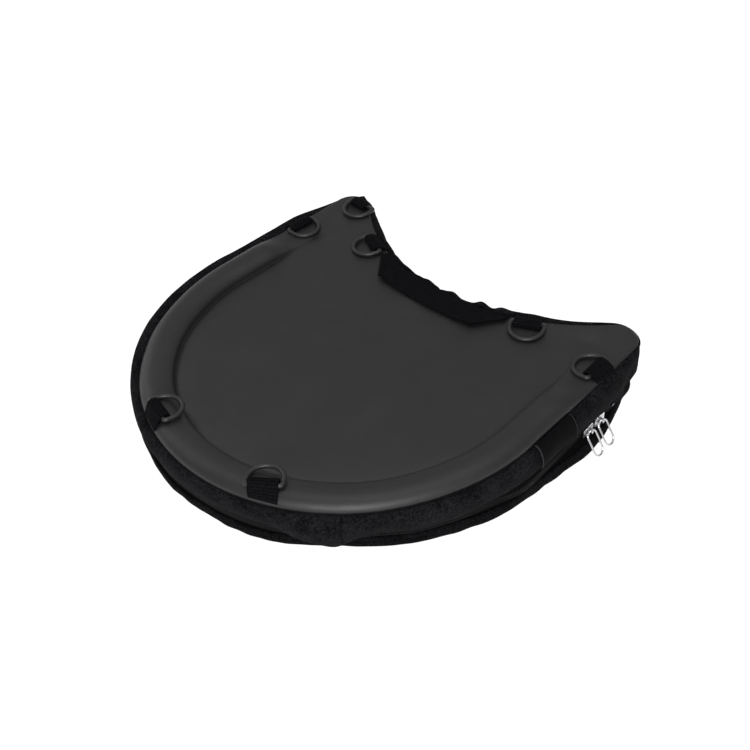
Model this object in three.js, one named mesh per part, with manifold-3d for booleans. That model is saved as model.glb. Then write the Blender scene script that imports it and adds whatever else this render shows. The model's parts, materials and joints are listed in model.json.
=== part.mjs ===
// A lap tray bag: a stiff padded tray that closes a soft bead-filled bag with a zip round its curved side.
// Millimetres, +Z up. The origin lies on the floor under the centre of the front arc, -Y is the front,
// +Y is the waist cut-out that the user sits in, and +X is the side that the zip sliders are parked on.
import * as THREE from "three";
import { mergeVertices } from "three/addons/utils/BufferGeometryUtils.js";
import Module from "manifold-3d";

// Gap left between pieces that touch.
const CLEAR = 0.3;

// Tray outline, measured on the seam between the rim and the side band.
const FRONT_RADIUS = 186;
const HORN_X = 160;
const HORN_Y = 152;
const HORN_RADIUS = 20;
const WAIST_Y = 106;

// Heights of the three side bands, from the floor up.
const LOWER_BAND_HEIGHT = 14;
const ZIP_ZONE_HEIGHT = 15;
const UPPER_BAND_HEIGHT = 27;

// Tray layers.
const COVER_THICK = 1.8;
const BOARD_THICK = 3.2;
const LINING_THICK = 1;
const BOARD_INSET = 2;

// Padded rim along the convex side, fading out before the horns.
const RIM_WIDTH = 30;
const RIM_HEIGHT = 9;
const RIM_SKIN = 1.2;
const RIM_RIGHT_END_Y = 88;
const RIM_LEFT_END_Y = 75;
const RIM_FADE = 60;
const RIM_END_SHARE = 0.35;

// Side bands: how far they swell past the seam, and how thick they are.
const UPPER_CREST = 2.4;
const UPPER_SWELL = 9.5;
const UPPER_EDGE = 6;
const UPPER_THICK = 2.5;
const LOWER_SWELL = 5.5;
const LOWER_EDGE = 5.6;
const LOWER_THICK = 2;
const BAND_SEAM_ANGLE = 41.5;

// How far the handles of the bands' curves lie out, as shares of the swell, crest and height they make.
const UPPER_CREST_OUT = 0.6;
const UPPER_CREST_PULL = 3.1;
const UPPER_SWELL_PULL = 1.4;
const UPPER_SWELL_DROP = 0.37;
const LOWER_FOOT_OUT = 0.8;
const LOWER_SWELL_PULL = 1.4;
const LOWER_SWELL_LIFT = 0.5;

// Bead-filled base.
const PANEL_THICK = 1.6;
const BASE_LINING_THICK = 1.2;
const CROWN_HEIGHT = 7;
const CROWN_CENTRE_Y = -40;
const CROWN_ROUNDNESS = 0.7;

// Zip: tape, coil halves, sliders and their wire pulls.
const TAPE_THICK = 0.8;
const TAPE_TUCK = 4;
const COIL_THICK = 2.4;
const COIL_WIDTH = 2.5;
const ZIP_END_Y = 116;
const STOP_LENGTH = 3;
const STOP_THICK = 1.2;
const SLIDER_LENGTH = 14;
const SLIDER_WIDTH = 11;
const SLIDER_TAIL = 7.6;
const SLIDER_PLATE = 1.4;
const NECK_THICK = 0.8;
const NECK_LENGTH = 5;
const LUG_WIDTH = 2.2;
const LUG_WALL = 1.5;
const PULL_WIRE = 1.8;
const PULL_LENGTH = 23;
const PULL_WIDTH = 11;
const PULL_CORNER = 4;
const PULL_TILT = 32;
const FRONT_SLIDER_Y = 78;
const REAR_SLIDER_Y = 94;

// Webbing loops with their D-rings.
const WEB_THICK = 1.3;
const LOOP_WIDTH = 24;
const LOOP_REACH = 9;
const LOOP_WRAP_ANGLE = 115;
const RING_WIRE = 4;
const RING_INNER_WIDTH = 25;
const RING_REACH = 21;
const RING_CORNER = 3.5;
const RING_FRONT_RIGHT_ANGLE = 23;
const RING_FRONT_LEFT_ANGLE = 19;
const RING_FRONT_RIGHT_SKEW = 14;
const RING_FRONT_LEFT_SKEW = 6;
const RING_SIDE_RIGHT_Y = 108;
const RING_SIDE_LEFT_Y = 95;
const RING_WAIST_GAP = 15;
const RING_HORN_ANGLE = 126;
const RING_HORN_SKEW = 36;

// Carry handle, a strap sewn into the waist seam at both ends.
const STRAP_WIDTH = 25;
const STRAP_THICK = 1.6;
const STRAP_HALF_SPAN = 74;
const STRAP_FRONT_HALF_SPAN = 54;
const STRAP_FRONT_Y = 85;
const STRAP_FOLD_LIFT = 4.5;
const STRAP_LIFT = 7;
const STRAP_SEAM_GAP = 1.2;

// Sewn-in tab on the right side.
const TAB_FROM_Y = 8;
const TAB_TO_Y = 53;
const TAB_THICK = 0.8;
const TAB_TOP_SHARE = 0.06;
const TAB_END_SHARE = 0.82;

// Facets.
const FRONT_STEPS = 14;
const SIDE_STEPS = 3;
const HORN_STEPS = 7;
const WAIST_STEPS = 6;
const BAND_STEPS = 6;
const RIM_STEPS = 6;
const WIRE_SIDES = 8;
const WIRE_BEND_STEPS = 4;
const LEAN_STEPS = 24;
const EYE_STEPS = 7;
const LUG_STEPS = 6;
const PLATE_STEPS = 4;
const CROWN_SHARES = [0.94, 0.82, 0.62, 0.36, 0.12];
const RIM_FADE_SHARES = [0, 0.25, 0.5, 0.75];
const STRAP_SHARES = [-1, -0.75, -0.5, -0.25, 0, 0.25, 0.5, 0.75, 1];

// Points closer than this are one point.
const WELD = 1e-4;

// Worked out from the sizes above.
const trayZ = LOWER_BAND_HEIGHT + ZIP_ZONE_HEIGHT + UPPER_BAND_HEIGHT;
const zipZ = LOWER_BAND_HEIGHT + ZIP_ZONE_HEIGHT / 2;
const partingHalf = NECK_THICK / 2 + CLEAR;
const seamGap = CLEAR / 2;

const wasm = await Module();
wasm.setup();

const degrees = THREE.MathUtils.degToRad;
const part = new THREE.Group();

// Adds one named piece to the part, or to a group inside it.
function addPiece(name, geometry, finish, parent = part) {
  const mesh = new THREE.Mesh(geometry, new THREE.MeshStandardMaterial(finish));
  mesh.name = name;
  parent.add(mesh);
  return mesh;
}

const LEATHERETTE = { color: 0x2b2b2e, roughness: 0.5 };
const FELT = { color: 0x161617, roughness: 0.95 };
const WEBBING = { color: 0x121213, roughness: 0.8 };
const LINING = { color: 0x1d1d20, roughness: 0.9 };
const BOARD = { color: 0x7a6a55, roughness: 0.8 };
const FOAM = { color: 0xd8d4c8, roughness: 1 };
const BEADS = { color: 0xf0f0ec, roughness: 1 };
const RING_PLASTIC = { color: 0x0c0c0d, roughness: 0.35 };
const COIL = { color: 0x101011, roughness: 0.45 };
const SILVER = { color: 0xc8c8cc, roughness: 0.25, metalness: 1 };
const LABEL = { color: 0x1a1a1c, roughness: 0.85 };

function geometryFrom(points, triangles) {
  const geometry = new THREE.BufferGeometry();
  const flat = points.flatMap((p) => [p.x, p.y, p.z]);
  geometry.setAttribute("position", new THREE.Float32BufferAttribute(flat, 3));
  geometry.setIndex(triangles.flat());
  return geometry;
}

function solidFrom(geometry) {
  const bare = geometry.clone();
  bare.deleteAttribute("normal");
  bare.deleteAttribute("uv");
  const merged = mergeVertices(bare, WELD);
  const vertProperties = merged.attributes.position.array;
  const triVerts = new Uint32Array(merged.index.array);
  return new wasm.Manifold(new wasm.Mesh({ numProp: 3, vertProperties, triVerts }));
}

function geometryOf(solid) {
  const made = solid.getMesh();
  const geometry = new THREE.BufferGeometry();
  geometry.setAttribute("position", new THREE.BufferAttribute(made.vertProperties, 3));
  geometry.setIndex(new THREE.BufferAttribute(made.triVerts, 1));
  return geometry;
}

// The outline is a ring of stations, each with its place and outward normal, counter-clockwise from front.
// Front arc, leaning side, horn arc and waist arc are tangent to each other, so every offset of it is exact.
const reach = Math.hypot(HORN_X, HORN_Y);
const lean = Math.atan2(HORN_Y, HORN_X) - Math.acos((FRONT_RADIUS - HORN_RADIUS) / reach);
const waistDepth = HORN_Y - WAIST_Y;
const waistRadius = (HORN_X ** 2 + waistDepth ** 2 - HORN_RADIUS ** 2) / (2 * (HORN_RADIUS + waistDepth));
const waistCentreY = WAIST_Y + waistRadius;
const hornTurn = Math.atan2(waistCentreY - HORN_Y, -HORN_X);

function arcStations(centreX, centreY, radius, from, to, steps, facing) {
  return Array.from({ length: steps }, (_, i) => {
    const angle = from + ((to - from) * (i + 1)) / steps;
    const nx = Math.cos(angle);
    const ny = Math.sin(angle);
    return { x: centreX + radius * nx, y: centreY + radius * ny, nx: facing * nx, ny: facing * ny };
  });
}

function lineStations(from, to, steps) {
  return Array.from({ length: steps }, (_, i) => {
    const share = (i + 1) / steps;
    const x = THREE.MathUtils.lerp(from.x, to.x, share);
    const y = THREE.MathUtils.lerp(from.y, to.y, share);
    return { x, y, nx: from.nx, ny: from.ny };
  });
}

const front = { x: 0, y: -FRONT_RADIUS, nx: 0, ny: -1 };
const frontArc = arcStations(0, 0, FRONT_RADIUS, -Math.PI / 2, lean, FRONT_STEPS, 1);
const sideStart = frontArc[FRONT_STEPS - 1];
const hornArc = arcStations(HORN_X, HORN_Y, HORN_RADIUS, lean, hornTurn, HORN_STEPS, 1);
const sideEnd = {
  x: HORN_X + HORN_RADIUS * sideStart.nx,
  y: HORN_Y + HORN_RADIUS * sideStart.ny,
};
const side = lineStations(sideStart, sideEnd, SIDE_STEPS);
const waistFrom = hornTurn - Math.PI;
const waistArc = arcStations(0, waistCentreY, waistRadius, waistFrom, -Math.PI / 2, WAIST_STEPS, -1);
const rightHalf = [front, ...frontArc, ...side, ...hornArc, ...waistArc];
const leftHalf = rightHalf
  .slice(1, -1)
  .reverse()
  .map((p) => ({ ...p, x: -p.x, nx: -p.nx }));
const stations = [...rightHalf, ...leftHalf];

let perimeter = 0;
stations.forEach((p, i) => {
  const next = stations[(i + 1) % stations.length];
  p.s = perimeter;
  perimeter += Math.hypot(next.x - p.x, next.y - p.y);
});
const sideStartS = stations[FRONT_STEPS].s;
const sideEndS = stations[FRONT_STEPS + SIDE_STEPS].s;
const hornEndS = stations[FRONT_STEPS + SIDE_STEPS + HORN_STEPS].s;
const waistS = perimeter / 2;

// Distance round the outline, from the front middle, of a place on each right-hand stretch.
// The left-hand twin of a place is at minus its distance.
function alongFront(angle) {
  return (sideStartS * degrees(angle)) / (Math.PI / 2 + lean);
}

function alongSide(y) {
  return sideStartS + ((sideEndS - sideStartS) * (y - sideStart.y)) / (sideEnd.y - sideStart.y);
}

function alongHorn(angle) {
  return sideEndS + ((hornEndS - sideEndS) * (degrees(angle) - lean)) / (hornTurn - lean);
}

function alongWaist(x) {
  const halfAngle = hornTurn - Math.PI / 2;
  return waistS - ((waistS - hornEndS) * Math.asin(x / waistRadius)) / halfAngle;
}

// The outline at a distance s, taken on the straight facet between two stations.
function frameAt(s) {
  const wrapped = THREE.MathUtils.euclideanModulo(s, perimeter);
  const i = stations.findLastIndex((p) => p.s <= wrapped);
  const a = stations[i];
  const b = stations[(i + 1) % stations.length];
  const share = (wrapped - a.s) / ((b.s || perimeter) - a.s);
  const mix = (key) => THREE.MathUtils.lerp(a[key], b[key], share);
  return { x: mix("x"), y: mix("y"), nx: mix("nx"), ny: mix("ny"), s };
}

// The stations from one distance to another, with any extra ones that a piece needs.
function framesBetween(from, to, extra = []) {
  const turns = [-perimeter, 0, perimeter];
  const inside = turns
    .flatMap((turn) => stations.map((p) => ({ ...p, s: p.s + turn })))
    .filter((p) => p.s > from + CLEAR && p.s < to - CLEAR);
  const added = extra.map(frameAt);
  return [frameAt(from), ...[...inside, ...added].sort((a, b) => a.s - b.s), frameAt(to)];
}

function pointOn(frame, d, z) {
  return new THREE.Vector3(frame.x + frame.nx * d, frame.y + frame.ny * d, z);
}

// A group on the seam at s. X runs along the seam, Y points into the tray and Z points up, turned by skew.
function groupAt(s, z, skew = 0) {
  const frame = frameAt(s);
  const group = new THREE.Group();
  group.position.copy(pointOn(frame, 0, z));
  group.rotation.z = Math.atan2(frame.nx, -frame.ny) + degrees(skew);
  part.add(group);
  return group;
}

// Sweeps a section along the outline. A section is a list of points, x outward from the seam and y up.
function sweep(frames, sectionAt) {
  const sections = frames.map((frame) => {
    const section = sectionAt(frame);
    return THREE.ShapeUtils.isClockWise(section) ? section.slice().reverse() : section;
  });
  const count = sections[0].length;
  const points = frames.flatMap((frame, i) => sections[i].map((p) => pointOn(frame, p.x, p.y)));
  const triangles = [];
  for (let i = 0; i + 1 < frames.length; i++) {
    for (let j = 0; j < count; j++) {
      const a = i * count + j;
      const b = i * count + ((j + 1) % count);
      triangles.push([a, a + count, b + count], [a, b + count, b]);
    }
  }
  const last = (frames.length - 1) * count;
  THREE.ShapeUtils.triangulateShape(sections[0], []).forEach((t) => triangles.push(t));
  THREE.ShapeUtils.triangulateShape(sections.at(-1), []).forEach(([a, b, c]) => {
    triangles.push([last + a, last + c, last + b]);
  });
  return geometryFrom(points, triangles);
}

// Sweeps a section all the way round the outline.
function sweepRound(section) {
  const half = waistS;
  const right = sweep(framesBetween(0, half), () => section);
  const left = sweep(framesBetween(half, perimeter), () => section);
  return geometryOf(solidFrom(right).add(solidFrom(left)));
}

// Stacks closed rings of points, from the bottom inwards, outwards and up again, and caps both ends.
function loft(rings) {
  const count = rings[0].length;
  const triangles = [];
  for (let k = 0; k + 1 < rings.length; k++) {
    for (let i = 0; i < count; i++) {
      const a = k * count + i;
      const b = k * count + ((i + 1) % count);
      triangles.push([a, b, b + count], [a, b + count, a + count]);
    }
  }
  const last = (rings.length - 1) * count;
  THREE.ShapeUtils.triangulateShape(rings[0], []).forEach(([a, b, c]) => triangles.push([a, c, b]));
  THREE.ShapeUtils.triangulateShape(rings.at(-1), []).forEach((t) => triangles.push(t.map((i) => i + last)));
  return geometryFrom(rings.flat(), triangles);
}

function ringAt(d, z) {
  return stations.map((p) => pointOn(p, d, z));
}

// A ring drawn in towards the middle of the bag, keeping the outline's shape.
function drawnIn(d, share, z) {
  return ringAt(d, z).map((p) => {
    p.x *= share;
    p.y = THREE.MathUtils.lerp(CROWN_CENTRE_Y, p.y, share);
    return p;
  });
}

// A flat sheet with the outline offset by d.
function panel(d, bottom, thick) {
  const shape = new THREE.Shape(stations.map((p) => new THREE.Vector2(p.x + p.nx * d, p.y + p.ny * d)));
  const geometry = new THREE.ExtrudeGeometry(shape, { depth: thick, bevelEnabled: false });
  return geometry.translate(0, 0, bottom);
}

function bezier(...corners) {
  return new THREE.CubicBezierCurve(...corners.map(([x, y]) => new THREE.Vector2(x, y)));
}

// A curve's points moved sideways, to the right of its direction where distance is positive.
function offsetPoints(curve, steps, distance) {
  return Array.from({ length: steps + 1 }, (_, i) => {
    const tangent = curve.getTangent(i / steps);
    const point = curve.getPoint(i / steps);
    return new THREE.Vector2(point.x + distance * tangent.y, point.y - distance * tangent.x);
  });
}

function strip(curve, steps, near, far) {
  return [...offsetPoints(curve, steps, near), ...offsetPoints(curve, steps, far).reverse()];
}

function rectangle(d0, d1, z0, z1) {
  const corners = [
    [d0, z0],
    [d1, z0],
    [d1, z1],
    [d0, z1],
  ];
  return corners.map(([d, z]) => new THREE.Vector2(d, z));
}

// A wire bent to a closed flat path in the XY plane.
function closedWire(path, radius) {
  const centre = path.getPoints(WIRE_BEND_STEPS).slice(0, -1);
  const count = centre.length;
  const points = centre.flatMap((p, i) => {
    const before = centre[(i + count - 1) % count];
    const after = centre[(i + 1) % count];
    const across = new THREE.Vector2(after.y - before.y, before.x - after.x).normalize();
    return Array.from({ length: WIRE_SIDES }, (_, k) => {
      const angle = (2 * Math.PI * k) / WIRE_SIDES;
      const out = radius * Math.cos(angle);
      return new THREE.Vector3(p.x + across.x * out, p.y + across.y * out, radius * Math.sin(angle));
    });
  });
  const triangles = [];
  for (let i = 0; i < count; i++) {
    for (let k = 0; k < WIRE_SIDES; k++) {
      const near = i * WIRE_SIDES;
      const far = ((i + 1) % count) * WIRE_SIDES;
      const next = (k + 1) % WIRE_SIDES;
      triangles.push([near + k, far + k, far + next], [near + k, far + next, near + next]);
    }
  }
  return geometryFrom(points, triangles);
}

// Tray: a stiff board between the covering and the lining.
const boardZ = trayZ - COVER_THICK - CLEAR - BOARD_THICK;
addPiece("tray_cover", panel(0, trayZ - COVER_THICK, COVER_THICK), LEATHERETTE);
addPiece("tray_board", panel(-BOARD_INSET, boardZ, BOARD_THICK), BOARD);
addPiece("tray_lining", panel(-BOARD_INSET, boardZ - CLEAR - LINING_THICK, LINING_THICK), LINING);

// Padded rim: an arched skin over a foam core, both standing on the tray cover.
const rimFoot = trayZ + CLEAR;
const rimRightS = alongSide(RIM_RIGHT_END_Y);
const rimLeftS = -alongSide(RIM_LEFT_END_Y);

function rimShare(s) {
  const toEnd = Math.min(rimRightS - s, s - rimLeftS);
  return THREE.MathUtils.lerp(RIM_END_SHARE, 1, THREE.MathUtils.smoothstep(toEnd, 0, RIM_FADE));
}

// The arch of the rim's skin, or one that lies inside it by inset.
// A cubic arch rises to three quarters of the height of its handles.
function rimArch(share, inset) {
  const inner = inset - RIM_WIDTH;
  const outer = -2 * CLEAR - inset;
  const top = rimFoot + (4 / 3) * (RIM_HEIGHT * share - inset);
  return bezier([inner, rimFoot], [inner, top], [outer, top], [outer, rimFoot]);
}

function rimSkinSection(frame) {
  const share = rimShare(frame.s);
  const outside = rimArch(share, 0).getPoints(RIM_STEPS);
  const inside = rimArch(share, RIM_SKIN).getPoints(RIM_STEPS);
  return [...outside, ...inside.reverse()];
}

// The foam stops where the rim starts to fade.
const foamRightS = rimRightS - RIM_FADE;
const foamLeftS = rimLeftS + RIM_FADE;
const rimCoreSection = rimArch(1, RIM_SKIN + CLEAR).getPoints(RIM_STEPS);
const rimMarks = RIM_FADE_SHARES.flatMap((share) => [
  foamLeftS - RIM_FADE * share,
  foamRightS + RIM_FADE * share,
]);
addPiece("rim_cover", sweep(framesBetween(rimLeftS, rimRightS, rimMarks), rimSkinSection), LEATHERETTE);
addPiece("rim_core", sweep(framesBetween(foamLeftS, foamRightS), () => rimCoreSection), FOAM);

// Upper band: a padded strip that swells out from the seam, joined at the front and at the waist.
const upperEdgeZ = trayZ - UPPER_BAND_HEIGHT;
const upperCurve = bezier(
  [CLEAR, trayZ - CLEAR],
  [UPPER_SWELL * UPPER_CREST_OUT, trayZ + UPPER_CREST * UPPER_CREST_PULL],
  [UPPER_SWELL * UPPER_SWELL_PULL, trayZ - UPPER_BAND_HEIGHT * UPPER_SWELL_DROP],
  [UPPER_EDGE, upperEdgeZ],
);
const upperSection = strip(upperCurve, BAND_STEPS, 0, UPPER_THICK);
const bandSeamS = alongFront(BAND_SEAM_ANGLE);
const upperRight = framesBetween(bandSeamS + seamGap, waistS - seamGap);
const upperLeft = framesBetween(waistS + seamGap, perimeter + bandSeamS - seamGap);
addPiece("upper_band_right", sweep(upperRight, () => upperSection), FELT);
addPiece("upper_band_left", sweep(upperLeft, () => upperSection), FELT);

// Lower band and base panel: the outside of the bead-filled base.
const lowerCurve = bezier(
  [CLEAR, CLEAR],
  [LOWER_SWELL * LOWER_FOOT_OUT, 0],
  [LOWER_SWELL * LOWER_SWELL_PULL, LOWER_BAND_HEIGHT * LOWER_SWELL_LIFT],
  [LOWER_EDGE, LOWER_BAND_HEIGHT],
);
addPiece("lower_band", sweepRound(strip(lowerCurve, BAND_STEPS, 0, -LOWER_THICK)), FELT);
addPiece("base_panel", panel(0, 0, PANEL_THICK), FELT);

// Zip tapes tuck behind the edges of both bands.
const upperInner = offsetPoints(upperCurve, BAND_STEPS, UPPER_THICK).at(-1);
const lowerInner = offsetPoints(lowerCurve, BAND_STEPS, -LOWER_THICK).at(-1);
const tapeOuter = Math.min(upperInner.x, lowerInner.x) - CLEAR;
const tapeInner = tapeOuter - TAPE_THICK;
const coilInner = tapeOuter - TAPE_THICK / 2 - COIL_THICK / 2;
const coilOuter = coilInner + COIL_THICK;
const coilEnd = partingHalf + COIL_WIDTH;
const tapeTop = upperEdgeZ + TAPE_TUCK;
const tapeBottom = LOWER_BAND_HEIGHT - TAPE_TUCK;
const zipEndS = alongSide(ZIP_END_Y);
const zipFrames = framesBetween(-zipEndS, zipEndS);
const upperTape = rectangle(tapeInner, tapeOuter, zipZ + coilEnd + CLEAR, tapeTop);
const lowerTape = rectangle(tapeInner, tapeOuter, tapeBottom, zipZ - coilEnd - CLEAR);
const upperCoil = rectangle(coilInner, coilOuter, zipZ + partingHalf, zipZ + coilEnd);
const lowerCoil = rectangle(coilInner, coilOuter, zipZ - coilEnd, zipZ - partingHalf);
addPiece("zip_tape_upper", sweep(zipFrames, () => upperTape), WEBBING);
addPiece("zip_tape_lower", sweep(zipFrames, () => lowerTape), WEBBING);
addPiece("zip_coil_upper", sweep(zipFrames, () => upperCoil), COIL);
addPiece("zip_coil_lower", sweep(zipFrames, () => lowerCoil), COIL);

const stopSection = rectangle(
  coilOuter + CLEAR,
  coilOuter + CLEAR + STOP_THICK,
  zipZ + partingHalf,
  zipZ + coilEnd,
);
const stopRight = framesBetween(zipEndS - STOP_LENGTH, zipEndS);
const stopLeft = framesBetween(-zipEndS, STOP_LENGTH - zipEndS);
addPiece("zip_stop_right", sweep(stopRight, () => stopSection), SILVER);
addPiece("zip_stop_left", sweep(stopLeft, () => stopSection), SILVER);

// Behind the zip's ends a slack gusset joins both bands round the horns and the waist, and acts as the hinge.
const gussetSection = rectangle(tapeInner, tapeOuter, tapeBottom, tapeTop);
const gussetFrames = framesBetween(zipEndS + CLEAR, perimeter - zipEndS - CLEAR);
addPiece("rear_gusset", sweep(gussetFrames, () => gussetSection), FELT);

// Bead filling: swells against the lower band, passes inside the tape and crowns towards the middle.
const fillEdge = tapeInner - CLEAR;
const fillEdgeZ = LOWER_BAND_HEIGHT - LOWER_THICK / 2;
const fillSide = offsetPoints(lowerCurve, BAND_STEPS, -LOWER_THICK - CLEAR)
  .slice(1)
  .filter((p) => p.y < tapeBottom - CLEAR);
const crownAt = (share) => fillEdgeZ + CROWN_HEIGHT * (1 - share ** 2) ** CROWN_ROUNDNESS;
const fillRings = [
  ringAt(-LOWER_THICK, PANEL_THICK + CLEAR),
  ...fillSide.map((p) => ringAt(p.x, p.y)),
  ringAt(fillEdge, tapeBottom - CLEAR),
  ringAt(fillEdge, fillEdgeZ),
  ...CROWN_SHARES.map((share) => drawnIn(fillEdge, share, crownAt(share))),
];
addPiece("bean_fill", loft(fillRings), BEADS);

// Lining of the bag, lying on the bead filling.
const liningZ = (share) => crownAt(share) + CLEAR;
const baseLiningRings = [
  ...CROWN_SHARES.toReversed().map((share) => drawnIn(fillEdge, share, liningZ(share))),
  ringAt(fillEdge, liningZ(1)),
  ringAt(fillEdge, liningZ(1) + BASE_LINING_THICK),
  ...CROWN_SHARES.map((share) => drawnIn(fillEdge, share, liningZ(share) + BASE_LINING_THICK)),
];
addPiece("base_lining", loft(baseLiningRings), LINING);

// Sewn-in tab, hanging from the seam over the upper band.
function tabSection() {
  const steps = Array.from({ length: BAND_STEPS + 1 }, (_, i) =>
    THREE.MathUtils.lerp(TAB_TOP_SHARE, TAB_END_SHARE, i / BAND_STEPS),
  );
  const layer = (distance) =>
    steps.map((t) => {
      const point = upperCurve.getPoint(t);
      const tangent = upperCurve.getTangent(t);
      return new THREE.Vector2(point.x - distance * tangent.y, point.y + distance * tangent.x);
    });
  return [...layer(CLEAR), ...layer(CLEAR + TAB_THICK).reverse()];
}

const tabFrames = framesBetween(alongSide(TAB_FROM_Y), alongSide(TAB_TO_Y));
addPiece("label_tab", sweep(tabFrames, tabSection), LABEL);

// What a loop and its ring lie on, going inwards from the seam: the rim where it runs, else the flat tray.
const ringFar = LOOP_REACH + RING_REACH + RING_WIRE;
const flatGround = [new THREE.Vector2(0, rimFoot), new THREE.Vector2(ringFar, rimFoot)];
const rimGround = [
  ...offsetPoints(rimArch(1, 0), RIM_STEPS, -CLEAR)
    .reverse()
    .map((p) => new THREE.Vector2(-p.x, p.y)),
  new THREE.Vector2(ringFar, rimFoot),
];

function heightOn(ground, inward) {
  const i = Math.max(1, ground.findIndex((p) => p.x >= inward));
  const a = ground[i - 1];
  const b = ground[i];
  return THREE.MathUtils.mapLinear(inward, a.x, b.x, a.y, b.y);
}

const eyeRadius = RING_WIRE / 2 + CLEAR;
const loopRadius = eyeRadius + WEB_THICK;
const insideSeam = solidFrom(panel(-CLEAR, trayZ, UPPER_BAND_HEIGHT));
const rimRoomSection = rimArch(1, -CLEAR).getPoints(RIM_STEPS);
const rimRoom = solidFrom(sweep(framesBetween(foamLeftS, foamRightS), () => rimRoomSection));

function eyeHeight(ground) {
  return heightOn(ground, LOOP_REACH) + loopRadius;
}

// Webbing folded round the ring's bar, its two layers sewn into the seam.
// A skewed loop reaches past the seam before it is cut off there, and clears the rim it lies across.
function loopGeometry(ground, s, skew) {
  const eyeZ = eyeHeight(ground);
  const root = ground[0].x - (LOOP_WIDTH / 2) * Math.tan(degrees(skew));
  const profile = new THREE.Shape();
  profile.moveTo(root, ground[0].y);
  ground.filter((p) => p.x > root && p.x < LOOP_REACH).forEach((p) => profile.lineTo(p.x, p.y));
  profile.absarc(LOOP_REACH, eyeZ, loopRadius, -Math.PI / 2, degrees(LOOP_WRAP_ANGLE), false);
  profile.lineTo(root, ground[0].y + 2 * WEB_THICK);
  profile.closePath();
  profile.holes.push(new THREE.Path().absarc(LOOP_REACH, eyeZ, eyeRadius, 0, 2 * Math.PI, true));
  const geometry = new THREE.ExtrudeGeometry(profile, {
    depth: LOOP_WIDTH,
    bevelEnabled: false,
    curveSegments: EYE_STEPS,
  });
  const along = new THREE.Vector3(1, 0, 0);
  const inward = new THREE.Vector3(0, 1, 0);
  const up = new THREE.Vector3(0, 0, 1);
  geometry.applyMatrix4(new THREE.Matrix4().makeBasis(inward, up, along));
  geometry.translate(-LOOP_WIDTH / 2, 0, 0);
  const place = groupAt(s, 0, skew);
  place.updateMatrix();
  geometry.applyMatrix4(place.matrix);
  place.removeFromParent();
  const sewnIn = solidFrom(geometry).intersect(insideSeam);
  return geometryOf(skew ? sewnIn.subtract(rimRoom) : sewnIn);
}

// A D-ring with its bar on the X axis and its bow towards +Y.
const ringHalf = (RING_INNER_WIDTH + RING_WIRE) / 2;
const ringPath = new THREE.Path();
ringPath.moveTo(RING_CORNER - ringHalf, 0);
ringPath.lineTo(ringHalf - RING_CORNER, 0);
ringPath.quadraticCurveTo(ringHalf, 0, ringHalf, RING_CORNER);
ringPath.lineTo(ringHalf, RING_REACH - ringHalf);
ringPath.absarc(0, RING_REACH - ringHalf, ringHalf, 0, Math.PI, false);
ringPath.lineTo(-ringHalf, RING_CORNER);
ringPath.quadraticCurveTo(-ringHalf, 0, RING_CORNER - ringHalf, 0);

// The ring leans inwards until its wire meets what it lies on.
function restTilt(ground, skew) {
  const eyeZ = eyeHeight(ground);
  const turn = degrees(skew);
  const slopes = ringPath
    .getPoints(LEAN_STEPS)
    .filter((p) => p.y > RING_WIRE)
    .map((p) => {
      const inward = (LOOP_REACH + p.y) * Math.cos(turn) + p.x * Math.sin(turn);
      const drop = eyeZ - heightOn(ground, inward) - RING_WIRE / 2;
      return Math.atan2(drop, p.y);
    });
  return Math.min(...slopes);
}

function addRing(place, s, ground, skew = 0) {
  addPiece("ring_loop_" + place, loopGeometry(ground, s, skew), WEBBING);
  const group = groupAt(s, eyeHeight(ground), skew);
  const wire = closedWire(ringPath, RING_WIRE / 2);
  const ring = addPiece("d_ring_" + place, wire, RING_PLASTIC, group);
  ring.position.y = LOOP_REACH;
  ring.rotation.x = -restTilt(ground, skew);
}

addRing("front_right", alongFront(RING_FRONT_RIGHT_ANGLE), rimGround, RING_FRONT_RIGHT_SKEW);
addRing("front_left", -alongFront(RING_FRONT_LEFT_ANGLE), rimGround, RING_FRONT_LEFT_SKEW);
addRing("side_right", alongSide(RING_SIDE_RIGHT_Y), flatGround);
addRing("side_left", -alongSide(RING_SIDE_LEFT_Y), flatGround);
const waistRingS = alongWaist(STRAP_HALF_SPAN + RING_WAIST_GAP);
addRing("waist_right", waistRingS, flatGround);
addRing("waist_left", -waistRingS, flatGround);
addRing("horn_left", -alongHorn(RING_HORN_ANGLE), flatGround, RING_HORN_SKEW);

// Carry handle: out of the seam, folded back over itself on the diagonal, and across the waist with room
// for fingers below.
const strapRearY = STRAP_FRONT_Y + STRAP_WIDTH;
const foldNormal = new THREE.Vector2(strapRearY - STRAP_FRONT_Y, STRAP_FRONT_HALF_SPAN - STRAP_HALF_SPAN);
const foldPush = foldNormal.normalize().multiplyScalar(STRAP_THICK);
const foldZ = trayZ + STRAP_FOLD_LIFT;

function seamY(x) {
  return waistCentreY - Math.sqrt(waistRadius ** 2 - x ** 2) - STRAP_SEAM_GAP;
}

// A cross line of the strap, with its face at one height and its back at another, the face pushed outwards.
function strapCross(frontEnd, rearEnd, backZ, faceZ, push) {
  return [
    new THREE.Vector3(frontEnd.x, frontEnd.y, backZ),
    new THREE.Vector3(rearEnd.x, rearEnd.y, backZ),
    new THREE.Vector3(rearEnd.x + push.x, rearEnd.y + push.y, faceZ),
    new THREE.Vector3(frontEnd.x + push.x, frontEnd.y + push.y, faceZ),
  ];
}

const noPush = new THREE.Vector2(0, 0);

function strapLine(share) {
  const lift = THREE.MathUtils.lerp(STRAP_LIFT, STRAP_FOLD_LIFT, Math.abs(share) ** 3);
  const frontEnd = new THREE.Vector2(STRAP_FRONT_HALF_SPAN * share, STRAP_FRONT_Y);
  const rearEnd = new THREE.Vector2(STRAP_HALF_SPAN * share, strapRearY);
  return strapCross(frontEnd, rearEnd, trayZ + lift, trayZ + lift + STRAP_THICK, noPush);
}

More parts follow.
